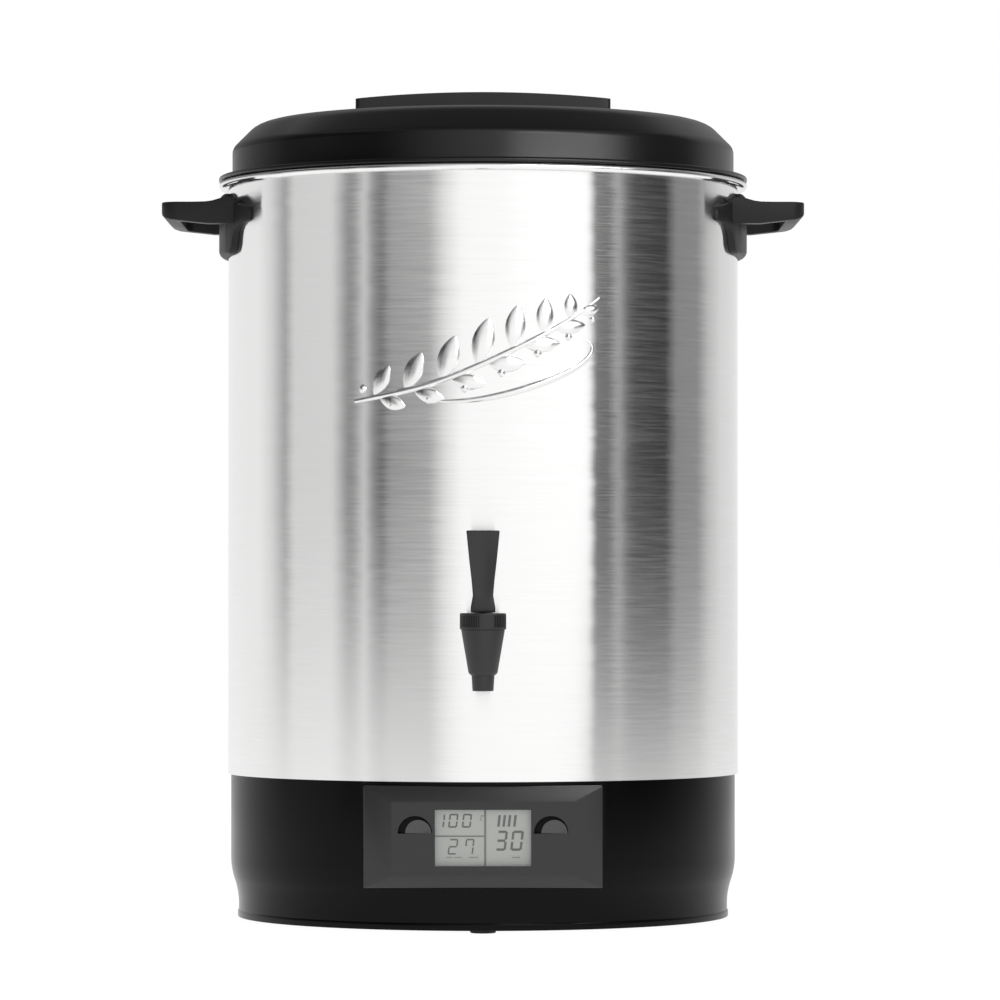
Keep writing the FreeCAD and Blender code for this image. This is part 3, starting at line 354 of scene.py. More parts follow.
# %% A card of light above and to the right, for the slope over the display
deselect()
bpy.ops.mesh.primitive_plane_add(size=1, location=(0.40, -0.49, 0.62))
bpy.context.object.scale = (0.60, 0.26, 1)
card = settle(bpy.context.object, "studio_card")
card_finish, nodes, wire = node_tree("studio_card_light")
glow = add_node(nodes, "ShaderNodeEmission", Strength=6.0)
out = add_node(nodes, "ShaderNodeOutputMaterial")
wire(glow.outputs[0], out.inputs[0])
card.data.materials.append(card_finish)
card.visible_camera = card.visible_shadow = card.visible_diffuse = False

# %% The sky over the wall: white low down, dimmer overhead
world = bpy.data.worlds.new("studio_air")
bpy.context.scene.world = world
world.use_nodes = True
nodes, wire = world.node_tree.nodes, world.node_tree.links.new
nodes.clear()
place = add_node(nodes, "ShaderNodeTexCoord")
split = add_node(nodes, "ShaderNodeSeparateXYZ")
wire(place.outputs["Generated"], split.inputs[0])
ramp = add_node(nodes, "ShaderNodeValToRGB")
fill_ramp(ramp, [(0.0, 1.0), (0.40, 1.0), (0.75, 0.20)])
wire(split.outputs["Z"], ramp.inputs[0])
air = add_node(nodes, "ShaderNodeBackground")
wire(ramp.outputs[0], air.inputs["Color"])
out = add_node(nodes, "ShaderNodeOutputWorld")
wire(air.outputs[0], out.inputs[0])
print("air and floor ready")

# %% [markdown]
# ## Finishes
# The drum is steel brushed round and round, so its gloss is wide up and down and narrow sideways.
# That is an anisotropic shader with its tangent set radially about the upright axis. The single
# brush strokes are long flat noise: it tips the surface a little to the left and right, stroke
# by stroke, which breaks up the edges of the bands as real strokes do.

# %% A metal brushed round an upright axis
def brushed_round(name, tint, gloss, lean, stroke=(26, 26, 900), seam=False):
    finish, nodes, wire = node_tree(name)
    place = add_node(nodes, "ShaderNodeTexCoord")
    strokes = add_node(nodes, "ShaderNodeMapping")
    strokes.inputs["Scale"].default_value = stroke
    wire(place.outputs["Object"], strokes.inputs["Vector"])
    grain = add_node(nodes, "ShaderNodeTexNoise", Scale=1.0, Detail=4.0, Roughness=0.6)
    wire(strokes.outputs[0], grain.inputs["Vector"])
    wide = add_node(nodes, "ShaderNodeMapping")
    wide.inputs["Scale"].default_value = (5, 5, 130)
    wire(place.outputs["Object"], wide.inputs["Vector"])
    drift = add_node(nodes, "ShaderNodeTexNoise", Scale=1.0, Detail=2.0)
    wire(wide.outputs[0], drift.inputs["Vector"])
    # sideways lean of the surface, stroke by stroke
    both = add_node(nodes, "ShaderNodeMath", operation="ADD")
    wire(grain.outputs["Fac"], both.inputs[0])
    wire(drift.outputs["Fac"], both.inputs[1])
    signed = add_node(nodes, "ShaderNodeMath", operation="SUBTRACT")
    wire(both.outputs[0], signed.inputs[0])
    signed.inputs[1].default_value = 1.0
    amount = add_node(nodes, "ShaderNodeMath", operation="MULTIPLY")
    wire(signed.outputs[0], amount.inputs[0])
    amount.inputs[1].default_value = lean
    surface = add_node(nodes, "ShaderNodeNewGeometry")
    sideways = add_node(nodes, "ShaderNodeVectorMath", operation="CROSS_PRODUCT")
    sideways.inputs[0].default_value = (0, 0, 1)
    wire(surface.outputs["Normal"], sideways.inputs[1])
    tip = add_node(nodes, "ShaderNodeVectorMath", operation="SCALE")
    wire(sideways.outputs[0], tip.inputs[0])
    wire(amount.outputs[0], tip.inputs["Scale"])
    tipped = add_node(nodes, "ShaderNodeVectorMath", operation="ADD")
    wire(surface.outputs["Normal"], tipped.inputs[0])
    wire(tip.outputs[0], tipped.inputs[1])
    unit = add_node(nodes, "ShaderNodeVectorMath", operation="NORMALIZE")
    wire(tipped.outputs[0], unit.inputs[0])
    # colour and gloss change a little from stroke to stroke
    colour = add_node(nodes, "ShaderNodeMix", data_type="RGBA")
    colour.inputs[6].default_value = (tint[0] * 0.93, tint[1] * 0.93, tint[2] * 0.93, 1)
    colour.inputs[7].default_value = (*tint, 1)
    wire(grain.outputs["Fac"], colour.inputs[0])
    rough = add_node(nodes, "ShaderNodeMapRange")
    rough.inputs["From Min"].default_value = 0.3
    rough.inputs["From Max"].default_value = 0.7
    rough.inputs["To Min"].default_value = gloss * 0.85
    rough.inputs["To Max"].default_value = gloss * 1.15
    wire(grain.outputs["Fac"], rough.inputs["Value"])
    ring = add_node(nodes, "ShaderNodeTangent", direction_type="RADIAL", axis="Z")
    metal = add_node(nodes, "ShaderNodeBsdfPrincipled", Metallic=1.0, Anisotropic=0.9)
    metal.inputs["Anisotropic Rotation"].default_value = 0.25
    last = colour.outputs[2]
    if seam:
        # the weld up the back of the drum: a narrow, slightly straw-coloured line
        split = add_node(nodes, "ShaderNodeSeparateXYZ")
        wire(place.outputs["Object"], split.inputs[0])
        across = add_node(nodes, "ShaderNodeMath", operation="ABSOLUTE")
        wire(split.outputs["X"], across.inputs[0])
        near = add_node(nodes, "ShaderNodeMapRange", interpolation_type="SMOOTHSTEP")
        near.inputs["From Min"].default_value = 0.0028
        near.inputs["From Max"].default_value = 0.0012
        wire(across.outputs[0], near.inputs["Value"])
        behind = add_node(nodes, "ShaderNodeMath", operation="GREATER_THAN")
        wire(split.outputs["Y"], behind.inputs[0])
        on_seam = add_node(nodes, "ShaderNodeMath", operation="MULTIPLY")
        wire(near.outputs[0], on_seam.inputs[0])
        wire(behind.outputs[0], on_seam.inputs[1])
        weld = add_node(nodes, "ShaderNodeMix", data_type="RGBA")
        weld.inputs[7].default_value = (0.52, 0.49, 0.43, 1)
        wire(on_seam.outputs[0], weld.inputs[0])
        wire(last, weld.inputs[6])
        last = weld.outputs[2]
    wire(last, metal.inputs["Base Color"])
    wire(rough.outputs[0], metal.inputs["Roughness"])
    wire(ring.outputs[0], metal.inputs["Tangent"])
    wire(unit.outputs[0], metal.inputs["Normal"])
    out = add_node(nodes, "ShaderNodeOutputMaterial")
    wire(metal.outputs[0], out.inputs[0])
    return finish


steel = brushed_round("brushed_drum_steel", (0.93, 0.93, 0.925), 0.15, 0.022, seam=True)
print("made", steel.name)

# %% [markdown]
# Moulded plastic is never quite one colour: it has a fine spark-eroded grain, faint flow marks,
# and it is a little glossier where hands rub it. Two noises do that, a fine one for the grain
# and a broad one for the gloss.

# %% Moulded plastics, rubbers and plain metals
def moulded(name, colour, gloss, grain=0.4, depth=0.02, shine=0.5, metallic=0.0, patch=9.0,
            vary=0.16):
    """Grain is the size of one fleck in millimetres; depth is its height."""
    finish, nodes, wire = node_tree(name)
    place = add_node(nodes, "ShaderNodeTexCoord")
    fine = add_node(nodes, "ShaderNodeTexNoise", Scale=1000.0 / grain, Detail=3.0)
    broad = add_node(nodes, "ShaderNodeTexNoise", Scale=patch, Detail=5.0, Roughness=0.6)
    wire(place.outputs["Object"], fine.inputs["Vector"])
    wire(place.outputs["Object"], broad.inputs["Vector"])
    bump = add_node(nodes, "ShaderNodeBump", Strength=0.6, Distance=depth * MM)
    wire(fine.outputs["Fac"], bump.inputs["Height"])
    shade = add_node(nodes, "ShaderNodeMix", data_type="RGBA")
    shade.inputs[6].default_value = tuple(part * (1 - vary) for part in colour) + (1,)
    shade.inputs[7].default_value = tuple(min(1, part * (1 + vary)) for part in colour) + (1,)
    wire(broad.outputs["Fac"], shade.inputs[0])
    rough = add_node(nodes, "ShaderNodeMapRange")
    rough.inputs["From Min"].default_value = 0.3
    rough.inputs["From Max"].default_value = 0.7
    rough.inputs["To Min"].default_value = gloss * 0.86
    rough.inputs["To Max"].default_value = min(1.0, gloss * 1.14)
    wire(broad.outputs["Fac"], rough.inputs["Value"])
    body = add_node(nodes, "ShaderNodeBsdfPrincipled", Metallic=metallic)
    body.inputs["Specular IOR Level"].default_value = shine
    wire(shade.outputs[2], body.inputs["Base Color"])
    wire(rough.outputs[0], body.inputs["Roughness"])
    wire(bump.outputs[0], body.inputs["Normal"])
    out = add_node(nodes, "ShaderNodeOutputMaterial")
    wire(body.outputs[0], out.inputs[0])
    return finish


FINISHES = {
    "brushed_steel": steel,
    "base_black": moulded("base_gloss_black", (0.0012, 0.0012, 0.0013), 0.22, 0.6, 0.006, 0.12),
    "panel_black": moulded("panel_satin_black", (0.018, 0.018, 0.0185), 0.33, 0.5, 0.012, 0.5),
    "cover_black": moulded("cover_matt_black", (0.014, 0.014, 0.014), 0.6, 0.9, 0.05, 0.4),
    "lid_black": moulded("lid_satin_black", (0.003, 0.003, 0.0031), 0.26, 0.5, 0.010, 0.42),
    "grip_black": moulded("grip_satin_black", (0.014, 0.014, 0.0142), 0.4, 0.5, 0.014, 0.5),
    "handle_black": moulded("handle_satin_black", (0.02, 0.02, 0.0203), 0.45, 0.6, 0.02, 0.18),
    "tap_black": moulded("tap_satin_black", (0.018, 0.018, 0.0185), 0.4, 0.5, 0.012, 0.5),
    "bonnet_black": moulded("collar_satin_black", (0.018, 0.018, 0.0185), 0.42, 0.5, 0.014, 0.5),
    "nut_black": moulded("nut_matt_black", (0.02, 0.02, 0.02), 0.5, 0.6, 0.03, 0.4),
    "key_black": moulded("key_satin_grey", (0.014, 0.014, 0.0143), 0.2, 0.4, 0.006, 1.0),
    "rubber_black": moulded("foot_rubber", (0.012, 0.012, 0.012), 0.75, 1.0, 0.06, 0.3),
    "silicone_grey": moulded("seal_silicone", (0.32, 0.31, 0.30), 0.55, 1.2, 0.02, 0.4),
    "screw_steel": moulded("bright_steel", (0.62, 0.62, 0.62), 0.24, 0.5, 0.01, 0.5, 1.0),
    "stem_plastic": moulded("stem_acetal", (0.03, 0.03, 0.03), 0.35, 0.5, 0.01, 0.5),
    "aluminium_plate": moulded("cast_aluminium", (0.70, 0.70, 0.71), 0.45, 1.4, 0.08, 0.5, 1.0),
    "element_steel": moulded("element_oxide", (0.30, 0.27, 0.24), 0.42, 1.0, 0.04, 0.5, 1.0),
    "shield_steel": moulded("plated_sheet", (0.62, 0.62, 0.60), 0.32, 3.0, 0.03, 0.5, 1.0),
    "sensor_metal": moulded("drawn_aluminium", (0.66, 0.66, 0.66), 0.3, 0.5, 0.01, 0.5, 1.0),
    "lcd_grey": moulded("display_grey", (0.445, 0.462, 0.433), 0.35, 0.3, 0.004, 0.3, vary=0.05),
    "switch_black": moulded("switch_black", (0.02, 0.02, 0.02), 0.5, 0.5, 0.02, 0.4),
    "relay_case": moulded("relay_blue", (0.03, 0.07, 0.20), 0.45, 0.6, 0.02, 0.5),
    "terminal_white": moulded("terminal_white", (0.66, 0.66, 0.62), 0.5, 0.6, 0.02, 0.4),
    "lead_silicone": moulded("lead_red_brown", (0.30, 0.04, 0.03), 0.5, 0.8, 0.03, 0.4),
}
print(len(FINISHES), "finishes")


# %% Circuit boards: solder mask with copper tracks showing through
def board_finish():
    finish, nodes, wire = node_tree("board_green")
    place = add_node(nodes, "ShaderNodeTexCoord")
    tracks = add_node(nodes, "ShaderNodeTexBrick", Scale=90.0)
    tracks.inputs["Color1"].default_value = (0.012, 0.10, 0.045, 1)
    tracks.inputs["Color2"].default_value = (0.016, 0.12, 0.055, 1)
    tracks.inputs["Mortar"].default_value = (0.05, 0.26, 0.13, 1)
    tracks.inputs["Mortar Size"].default_value = 0.06
    wire(place.outputs["Object"], tracks.inputs["Vector"])
    bump = add_node(nodes, "ShaderNodeBump", Strength=0.5, Distance=0.00003)
    wire(tracks.outputs["Fac"], bump.inputs["Height"])
    body = add_node(nodes, "ShaderNodeBsdfPrincipled", Roughness=0.3)
    wire(tracks.outputs["Color"], body.inputs["Base Color"])
    wire(bump.outputs[0], body.inputs["Normal"])
    out = add_node(nodes, "ShaderNodeOutputMaterial")
    wire(body.outputs[0], out.inputs[0])
    return finish


FINISHES["board_green"] = board_finish()


# %% The clear window of the display and the ink of its digits
def window_finish():
    """Thin clear plastic: mostly seen through, with a faint gloss and hair scratches."""
    finish, nodes, wire = node_tree("display_window")
    place = add_node(nodes, "ShaderNodeTexCoord")
    hair = add_node(nodes, "ShaderNodeTexNoise", Scale=300.0, Detail=6.0)
    wire(place.outputs["Object"], hair.inputs["Vector"])
    rough = add_node(nodes, "ShaderNodeMapRange")
    rough.inputs["To Min"].default_value = 0.08
    rough.inputs["To Max"].default_value = 0.2
    wire(hair.outputs["Fac"], rough.inputs["Value"])
    body = add_node(nodes, "ShaderNodeBsdfPrincipled", Alpha=0.06)
    body.inputs["Base Color"].default_value = (0.7, 0.72, 0.7, 1)
    wire(rough.outputs[0], body.inputs["Roughness"])
    out = add_node(nodes, "ShaderNodeOutputMaterial")
    wire(body.outputs[0], out.inputs[0])
    return finish


FINISHES["lens_clear"] = window_finish()
ink = moulded("display_ink", (0.07, 0.078, 0.07), 0.4, 0.3, 0.003, 0.3, vary=0.08)
faint_ink = moulded("display_faint_ink", (0.22, 0.235, 0.215), 0.4, 0.3, 0.003, 0.3, vary=0.08)

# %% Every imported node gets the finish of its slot
slot_of = {part["node"]: part["material_slot"] for part in frame["record"]["subparts"]}
for node, piece in frame["nodes"].items():
    piece.data.materials.clear()
    piece.data.materials.append(FINISHES[slot_of[node]])
print(len(slot_of), "nodes dressed")


def hand_over(piece, body, *nodes, finish=None, angle=35):
    """Smooth a finished piece, dress it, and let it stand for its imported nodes."""
    smooth(piece, angle)
    piece.data.materials.clear()
    piece.data.materials.append(finish or FINISHES[slot_of[nodes[0]]])
    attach(piece, body)
    if nodes:
        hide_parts(*nodes)
    print(piece.name, "stands for", nodes, len(piece.data.polygons), "faces")


# %% [markdown]
# ## The drum
# A rolled sheet with a flat floor and a hollow bead curled outwards at the mouth. The bead is the
# brightest line on the kettle and throws the dark crescent under it, so it is drawn as a real
# curl with a crevice. One section, spun in 256 steps, gives the whole drum.

# %% Drum
drum = turned("steel_drum", [
    (0, 111.8), (173.9, 111.8), (174.0, 99.6), (175.0, 99.6), (175.0, 300.0), (175.0, 500.6),
    (175.3, 502.0), (175.9, 502.6), (176.4, 501.6), (177.2, 500.2), (178.9, 499.5),
    (180.7, 500.2), (181.5, 502.1), (180.8, 503.9), (178.9, 504.7), (176.4, 504.5),
    (174.8, 503.6), (174.0, 502.0), (174.0, 300.0), (174.0, 113.0, 6.0), (0, 113.0)],
    steps=256, closed=False)
hand_over(drum, "kettle", "vessel_shell", angle=50)

# %% [markdown]
# ## The base
# A glossy moulding that steps in above the feet through a soft S and ends in a thin lip. The
# display panel goes through its wall, so an opening is cut for it.

# %% Base housing
base = turned("heated_base", [
    (168.1, 2.0, 0.6), (168.1, 6.0, 0.6), (167.4, 6.9), (167.4, 20.0, 8.0), (172.8, 34.0, 8.0),
    (172.8, 105.6, 0.8), (127.8, 105.6), (127.8, 103.0), (170.2, 103.0), (170.2, 36.6),
    (164.8, 22.6), (164.8, 2.0)], steps=256)
combine(base, new_block("panel_opening", (-78.3, -180, 30.2), (78.3, -145, 97.3)))
hand_over(base, "kettle", "base_housing")

# %% [markdown]
# ## The display panel
# A bevelled block let into the base. Its flat face carries the window and two half-moon keys.
# The block starts as a cube. Its front is extruded and narrowed, which makes the four bevels, and
# the hollow, the window and the key holes are cut from it.

# %% Panel
def bevelled_front(name, front, inset):
    """A box whose front face is pushed out and made smaller, to leave four slopes."""
    low = (-(78.0 - inset), front + 6.0, 30.5 + inset)
    high = (78.0 - inset, -146.5 + inset * 2, 97.0 - inset)
    block = new_block(name, low, high)
    start_shaping(block)
    pick(block, "FACE", lambda at, face: face.normal.y < -0.9)
    bpy.ops.mesh.extrude_region_move(TRANSFORM_OT_translate={"value": (0, -6.0 * MM, 0)})
    wide = (59.8 - inset) / (78.0 - inset)
    tall = (48.3 - inset * 0.6) / (66.5 - inset * 2)
    bpy.ops.transform.resize(value=(wide, 1, tall))
    bpy.ops.transform.translate(value=(0, 0, -1.2 * MM))
    stop_shaping()
    return block


def half_moon(name, side, radius, low_y, high_y, flat):
    """A half disc above its flat edge: a rod with its lower half sliced off."""
    moon = new_rod(name, radius, (44.4 * side, low_y, 66.5), (44.4 * side, high_y, 66.5), "Y", 96)
    start_shaping(moon)
    bpy.ops.mesh.select_all(action="SELECT")
    bpy.ops.mesh.bisect(plane_co=(0, 0, flat * MM), plane_no=(0, 0, 1), use_fill=True,
                        clear_inner=True)
    stop_shaping()
    return moon


panel = bevelled_front("display_panel", -180.0, 0.0)
soften(panel, 0.7, 3, 12)
combine(panel, bevelled_front("panel_hollow", -177.5, 2.5))
combine(panel, new_block("window_hole", (-31.4, -190, 45.0), (31.4, -170, 81.7)))
for side in (-1, 1):
    combine(panel, half_moon("key_hole", side, 11.2, -190, -170, 66.2))
hand_over(panel, "kettle", "control_panel", angle=20)


# %% The two keys: a half disc with painted shade in its dark crescent, and a lighter thumb pad set to the right on it
# The well is darker and less shiny than the panel plastic. This is painted shade for the crescent of
# well that shows round the pad, added to the shade of the real recess.
key_well_painted_shade = moulded("key_well_black_painted_shade", (0.004, 0.004, 0.0041), 0.5, 0.4, 0.008, 0.12)
for side, body in ((-1, "left_key"), (1, "right_key")):
    key = half_moon(body + "_button", side, 10.9, -177.6, -175.4, 66.5)
    soften(key, 0.3, 3, 40)
    hand_over(key, body, body, finish=key_well_painted_shade)
    middle = 44.4 * side + 2.1
    pad = new_rod(body + "_pad", 8.7, (middle, -180, 66.5), (middle, -177.4, 66.5), "Y", 96)
    start_shaping(pad)
    bpy.ops.mesh.select_all(action="SELECT")
    bpy.ops.mesh.bisect(plane_co=(0, 0, 66.6 * MM), plane_no=(0, 0, 1), use_fill=True,
                        clear_inner=True)
    stop_shaping()
    soften(pad, 0.6, 4, 40)
    deselect()
    bpy.ops.mesh.primitive_uv_sphere_add(segments=96, ring_count=64, radius=33.0 * MM,
                                         location=(middle * MM, -211.9 * MM, 68.0 * MM))
    combine(pad, settle(bpy.context.object, "scoop"))
    hand_over(pad, body, finish=FINISHES["key_black"])

# %% [markdown]
# ## The display
# Dark segments lie on the grey face behind the window. Each digit is seven small bars, and the
# whole set leans a little to the right, as on most small displays. The bars are planes that are
# placed one by one, joined and thickened, and the lean is given level by level.

# %% Digits, dividers and small marks
SEGMENTS = {"0": "abcdef", "1": "bc", "2": "abged", "3": "abgcd", "7": "abcf"}


def bar(middle_x, middle_z, wide, tall):
    deselect()
    bpy.ops.mesh.primitive_plane_add(size=1, rotation=(math.pi / 2, 0, 0),
                                     location=(middle_x * MM, -176.36 * MM, middle_z * MM))
    bpy.context.object.scale = (wide * MM, tall * MM, 1)
    return settle(bpy.context.object, "bar")


def digit(figure, left, right, low, high, thick):
    """Bars of one figure, pointed apart by small gaps."""
    middle, centre = (low + high) / 2, (left + right) / 2
    wide, tall = right - left - thick * 1.3, (high - low) / 2 - thick * 0.9
    upper, lower = (middle + high) / 2, (middle + low) / 2
    bars = {"a": (centre, high - thick / 2, wide, thick), "g": (centre, middle, wide, thick),
            "d": (centre, low + thick / 2, wide, thick),
            "f": (left + thick / 2, upper, thick, tall), "b": (right - thick / 2, upper, thick, tall),
            "e": (left + thick / 2, lower, thick, tall), "c": (right - thick / 2, lower, thick, tall)}
    return [bar(*bars[letter]) for letter in SEGMENTS[figure]]


def printed(name, bars, shade, lean=0.12, about=64.0):
    """Join bars, lean them, and give them the thickness of a film."""
    take(bars[0])
    for piece in bars:
        piece.select_set(True)
    bpy.ops.object.join()
    marks = settle(bpy.context.object, name)
    levels = sorted({round(v.co.z / MM, 3) for v in marks.data.vertices})
    start_shaping(marks)
    for level in levels:
        pick(marks, "VERT", lambda at, _: abs(at.z - level) < 0.0006)
        bpy.ops.transform.translate(value=((level - about) * lean * MM, 0, 0))
    stop_shaping()
    film = marks.modifiers.new("film", "SOLIDIFY")
    film.thickness = 0.05 * MM
    film.offset = 0.0
    apply_last(marks)
    hand_over(marks, "kettle", finish=shade)
    return marks


printed("digits_hot", digit("1", -28.2, -25.0, 69.9, 79.1, 1.15)
        + digit("0", -22.4, -16.4, 69.9, 79.1, 1.15) + digit("0", -13.5, -7.5, 69.9, 79.1, 1.15),
        ink, about=74.5)
printed("digits_time", digit("2", -22.6, -16.6, 52.4, 62.7, 1.0)
        + digit("7", -11.7, -6.0, 52.4, 62.7, 1.0), ink, about=57.5)
printed("digits_set", digit("3", 8.4, 15.6, 54.9, 68.1, 1.6)
        + digit("0", 18.4, 26.0, 54.9, 68.1, 1.6)
        + [bar(x, 74.4, 1.7, 7.5) for x in (8.9, 12.3, 15.7, 19.3)], ink, about=61.5)
printed("display_dividers", [bar(1.4, 63.4, 1.5, 39.8), bar(-15.7, 64.4, 32.6, 1.0)],
        moulded("display_divider", (0.13, 0.14, 0.13), 0.4, 0.3, 0.003, 0.3), lean=0.0)
printed("display_small_marks", [bar(-22.0, 50.6, 4.0, 0.8), bar(-16.4, 50.6, 5.0, 0.8),
                                bar(-6.2, 50.6, 6.0, 0.8), bar(21.6, 50.6, 5.4, 0.9),
                                bar(-3.6, 77.6, 2.4, 0.9), bar(-4.4, 75.6, 0.8, 2.2)],
        faint_ink, about=50.6)

# %% [markdown]
# ## The lid
# A moulded dish turned upside down: a thin rim rests on the bead, a short wall rises, a wide
# chamfer leads to a flat ring, and a round well in the middle leaves room for fingers under the
# grip. All of it is round, so it is one spun section with its corners rounded first.

# %% Lid
lid = turned("lid_cover", [
    (172.8, 496.4), (172.8, 504.9), (181.5, 504.9, 0.6), (181.5, 507.9, 1.2), (172.3, 507.9, 1.2),
    (172.3, 527.5, 3.0), (154.8, 545.0, 7.5), (66.0, 545.0, 3.0), (64.0, 523.0, 5.0), (0, 523.0),
    (0, 520.5), (66.5, 520.5), (68.5, 542.5), (153.8, 542.5), (169.8, 526.5), (169.8, 496.4)],
    steps=256, closed=False)
start_shaping(lid)
pick(lid, "EDGE", lambda at, edge: len(edge.link_faces) == 1)
bpy.ops.mesh.bridge_edge_loops()
bpy.ops.mesh.select_all(action="SELECT")
bpy.ops.mesh.normals_make_consistent(inside=False)
stop_shaping()
hand_over(lid, "lid", "lid_shell", "lid_rim")

# %% [markdown]
# ## The grip on the lid
# A shallow arch that spans the well. It starts as a box cut into slices, so that its top can be
# lowered slice by slice along a circle. The underside is inset and pushed up to make it hollow.

# %% Grip
def arch_drop(along):
    """How far the arch falls at a distance from the middle, in millimetres."""
    radius = (87.0 ** 2 + 4.4 ** 2) / (2 * 4.4)
    return radius - math.sqrt(radius ** 2 - along ** 2)


grip = new_block("lid_grip_arch", (-87, -35, 545), (87, 35, 564.5))
start_shaping(grip)
for at in sorted(list(range(-78, 79, 6)) + [-63.9, 63.9]):
    bpy.ops.mesh.select_all(action="SELECT")
    bpy.ops.mesh.bisect(plane_co=(at * MM, 0, 0), plane_no=(1, 0, 0))
columns = sorted({round(v.co.x / MM, 2) for v in bmesh.from_edit_mesh(grip.data).verts})
for column in columns:
    pick(grip, "VERT", lambda at, _: abs(at.x - column) < 0.02 and at.z > 560)
    bpy.ops.transform.translate(value=(0, 0, -arch_drop(column) * MM))
pick(grip, "FACE", lambda at, face: face.normal.z < -0.9)
bpy.ops.mesh.inset(thickness=2.5 * MM)
bpy.ops.mesh.extrude_region_move(TRANSFORM_OT_translate={"value": (0, 0, 12.0 * MM)})
stop_shaping()
combine(grip, new_block("relief", (-64, -40, 540), (64, 40, 549)))
start_shaping(grip)
pick(grip, "EDGE", lambda at, edge: abs(abs(at.x) - 87) < 0.05 and abs(abs(at.y) - 35) < 0.05)
bpy.ops.mesh.bevel(offset=3.0 * MM, segments=6)
stop_shaping()
soften(grip, 1.2, 4, 40)
hand_over(grip, "lid", "lid_grip")

# %% [markdown]
# ## The side handles
# Each handle is a flat loop on two arms that grow out of a curved plate on the drum. The loop is
# a box with round corners and a finger hole. The plate is a slice of a turned ring, trimmed to
# its outline, and the arms sweep up to it in a hollow curve.

# %% Outline helper: a flat shape pulled into a solid
def sheet_solid(name, outline, plane, start, thick):
    """Draw an outline in the XZ or YZ plane by extruding a vertex, fill it and pull it."""
    deselect()
    bpy.ops.mesh.primitive_plane_add(size=0.001)
    piece = bpy.context.object
    piece.name = piece.data.name = name
    bpy.ops.object.mode_set(mode="EDIT")
    bpy.ops.mesh.select_mode(type="VERT")
    bpy.ops.mesh.select_all(action="SELECT")
    bpy.ops.mesh.merge(type="CENTER")
    if plane == "XZ":
        places = [Vector((a, start, b)) * MM for a, b in outline]
        pull = Vector((0, thick, 0)) * MM
    else:
        places = [Vector((start, a, b)) * MM for a, b in outline]
        pull = Vector((thick, 0, 0)) * MM
    bpy.ops.transform.translate(value=places[0])
    for here, there in zip(places, places[1:]):
        bpy.ops.mesh.extrude_vertices_move(TRANSFORM_OT_translate={"value": there - here})
    bpy.ops.mesh.select_all(action="SELECT")
    bpy.ops.mesh.edge_face_add()
    bpy.ops.mesh.select_all(action="SELECT")
    bpy.ops.mesh.extrude_region_move(TRANSFORM_OT_translate={"value": pull})
    bpy.ops.mesh.select_all(action="SELECT")
    bpy.ops.mesh.normals_make_consistent(inside=False)
    bpy.ops.object.mode_set(mode="OBJECT")
    return piece


# %% Handles
SIDE_VIEW = [(165, 487.8), (171, 491.4), (174.4, 491.4), (179.2, 489.9), (183.7, 488.6),
             (188.4, 488.0), (196, 487.8), (218, 487.8), (218, 480.6), (217.3, 478.6),
             (215.4, 477.0), (211.8, 475.9), (204, 475.0), (187.4, 473.2), (165, 473.2)]
HALF_PLATE = [(44, 452.6), (50, 453.6), (53.5, 455.4), (56, 458.5), (57.5, 463), (60, 467.5),
              (64.5, 470.6), (70, 472.4), (79, 473.6), (80.2, 474.6), (80.2, 481.0), (79.2, 482.6),
              (72, 484.6), (62, 486.5), (50, 489.4), (40, 492.6), (33, 494.9), (28, 495.6)]
PLATE = HALF_PLATE + [(-across, up) for across, up in reversed(HALF_PLATE)]
for side, word in ((-1, "left"), (1, "right")):
    handle = sheet_solid(word + "_side_handle", [(x * side, z) for x, z in SIDE_VIEW], "XZ",
                         -60, 120)
    corner = new_block("plan", (min(100 * side, 218 * side), -60, 440),
                       (max(100 * side, 218 * side), 60, 520))
    start_shaping(corner)
    pick(corner, "EDGE", lambda at, edge: abs(abs(at.x) - 218) < 0.1 and abs(abs(at.y) - 60) < 0.1)
    bpy.ops.mesh.bevel(offset=11 * MM, segments=8)
    stop_shaping()
    combine(handle, corner, "INTERSECT")
    gap = new_block("finger_gap", (min(150 * side, 206 * side), -48, 440),
                    (max(150 * side, 206 * side), 48, 520))
    start_shaping(gap)
    pick(gap, "EDGE", lambda at, edge: abs(abs(at.x) - 206) < 0.1 and abs(abs(at.y) - 48) < 0.1)
    bpy.ops.mesh.bevel(offset=5 * MM, segments=6)
    stop_shaping()
    combine(handle, gap)
    soften(handle, 1.1, 3, 32)
    plate = turned("plate_ring", [(170.0, 452.5), (181.4, 452.5, 5.0), (181.4, 495.7, 4.4),
                                  (170.0, 495.7)], steps=200)
    trim = sheet_solid("plate_outline", PLATE, "YZ", 100 * side, 100 * side)
    combine(plate, trim, "INTERSECT")
    # the plate thins towards its two ends, so it is also kept within a tighter curve
    swell = 150.0
    swell_x = (181.4 - swell) * side
    combine(plate, new_rod("plate_swell", swell, (swell_x, 0, 400), (swell_x, 0, 600), "Z", 256),
            "INTERSECT")
    soften(plate, 1.6, 3, 50)
    combine(handle, plate, "UNION")
    combine(handle, new_rod("drum_space", 175.2, (0, 0, 400), (0, 0, 600), "Z", 256))
    hand_over(handle, "kettle", word + "_handle", angle=38)

# %% [markdown]
# ## The tap
# A cone-shaped body with a straight spout, a ribbed collar and a paddle lever. The body is spun
# about its own upright axis in front of the drum. The ribs are made by pushing in every other
# face of the collar, apart from a smooth flat at the front.

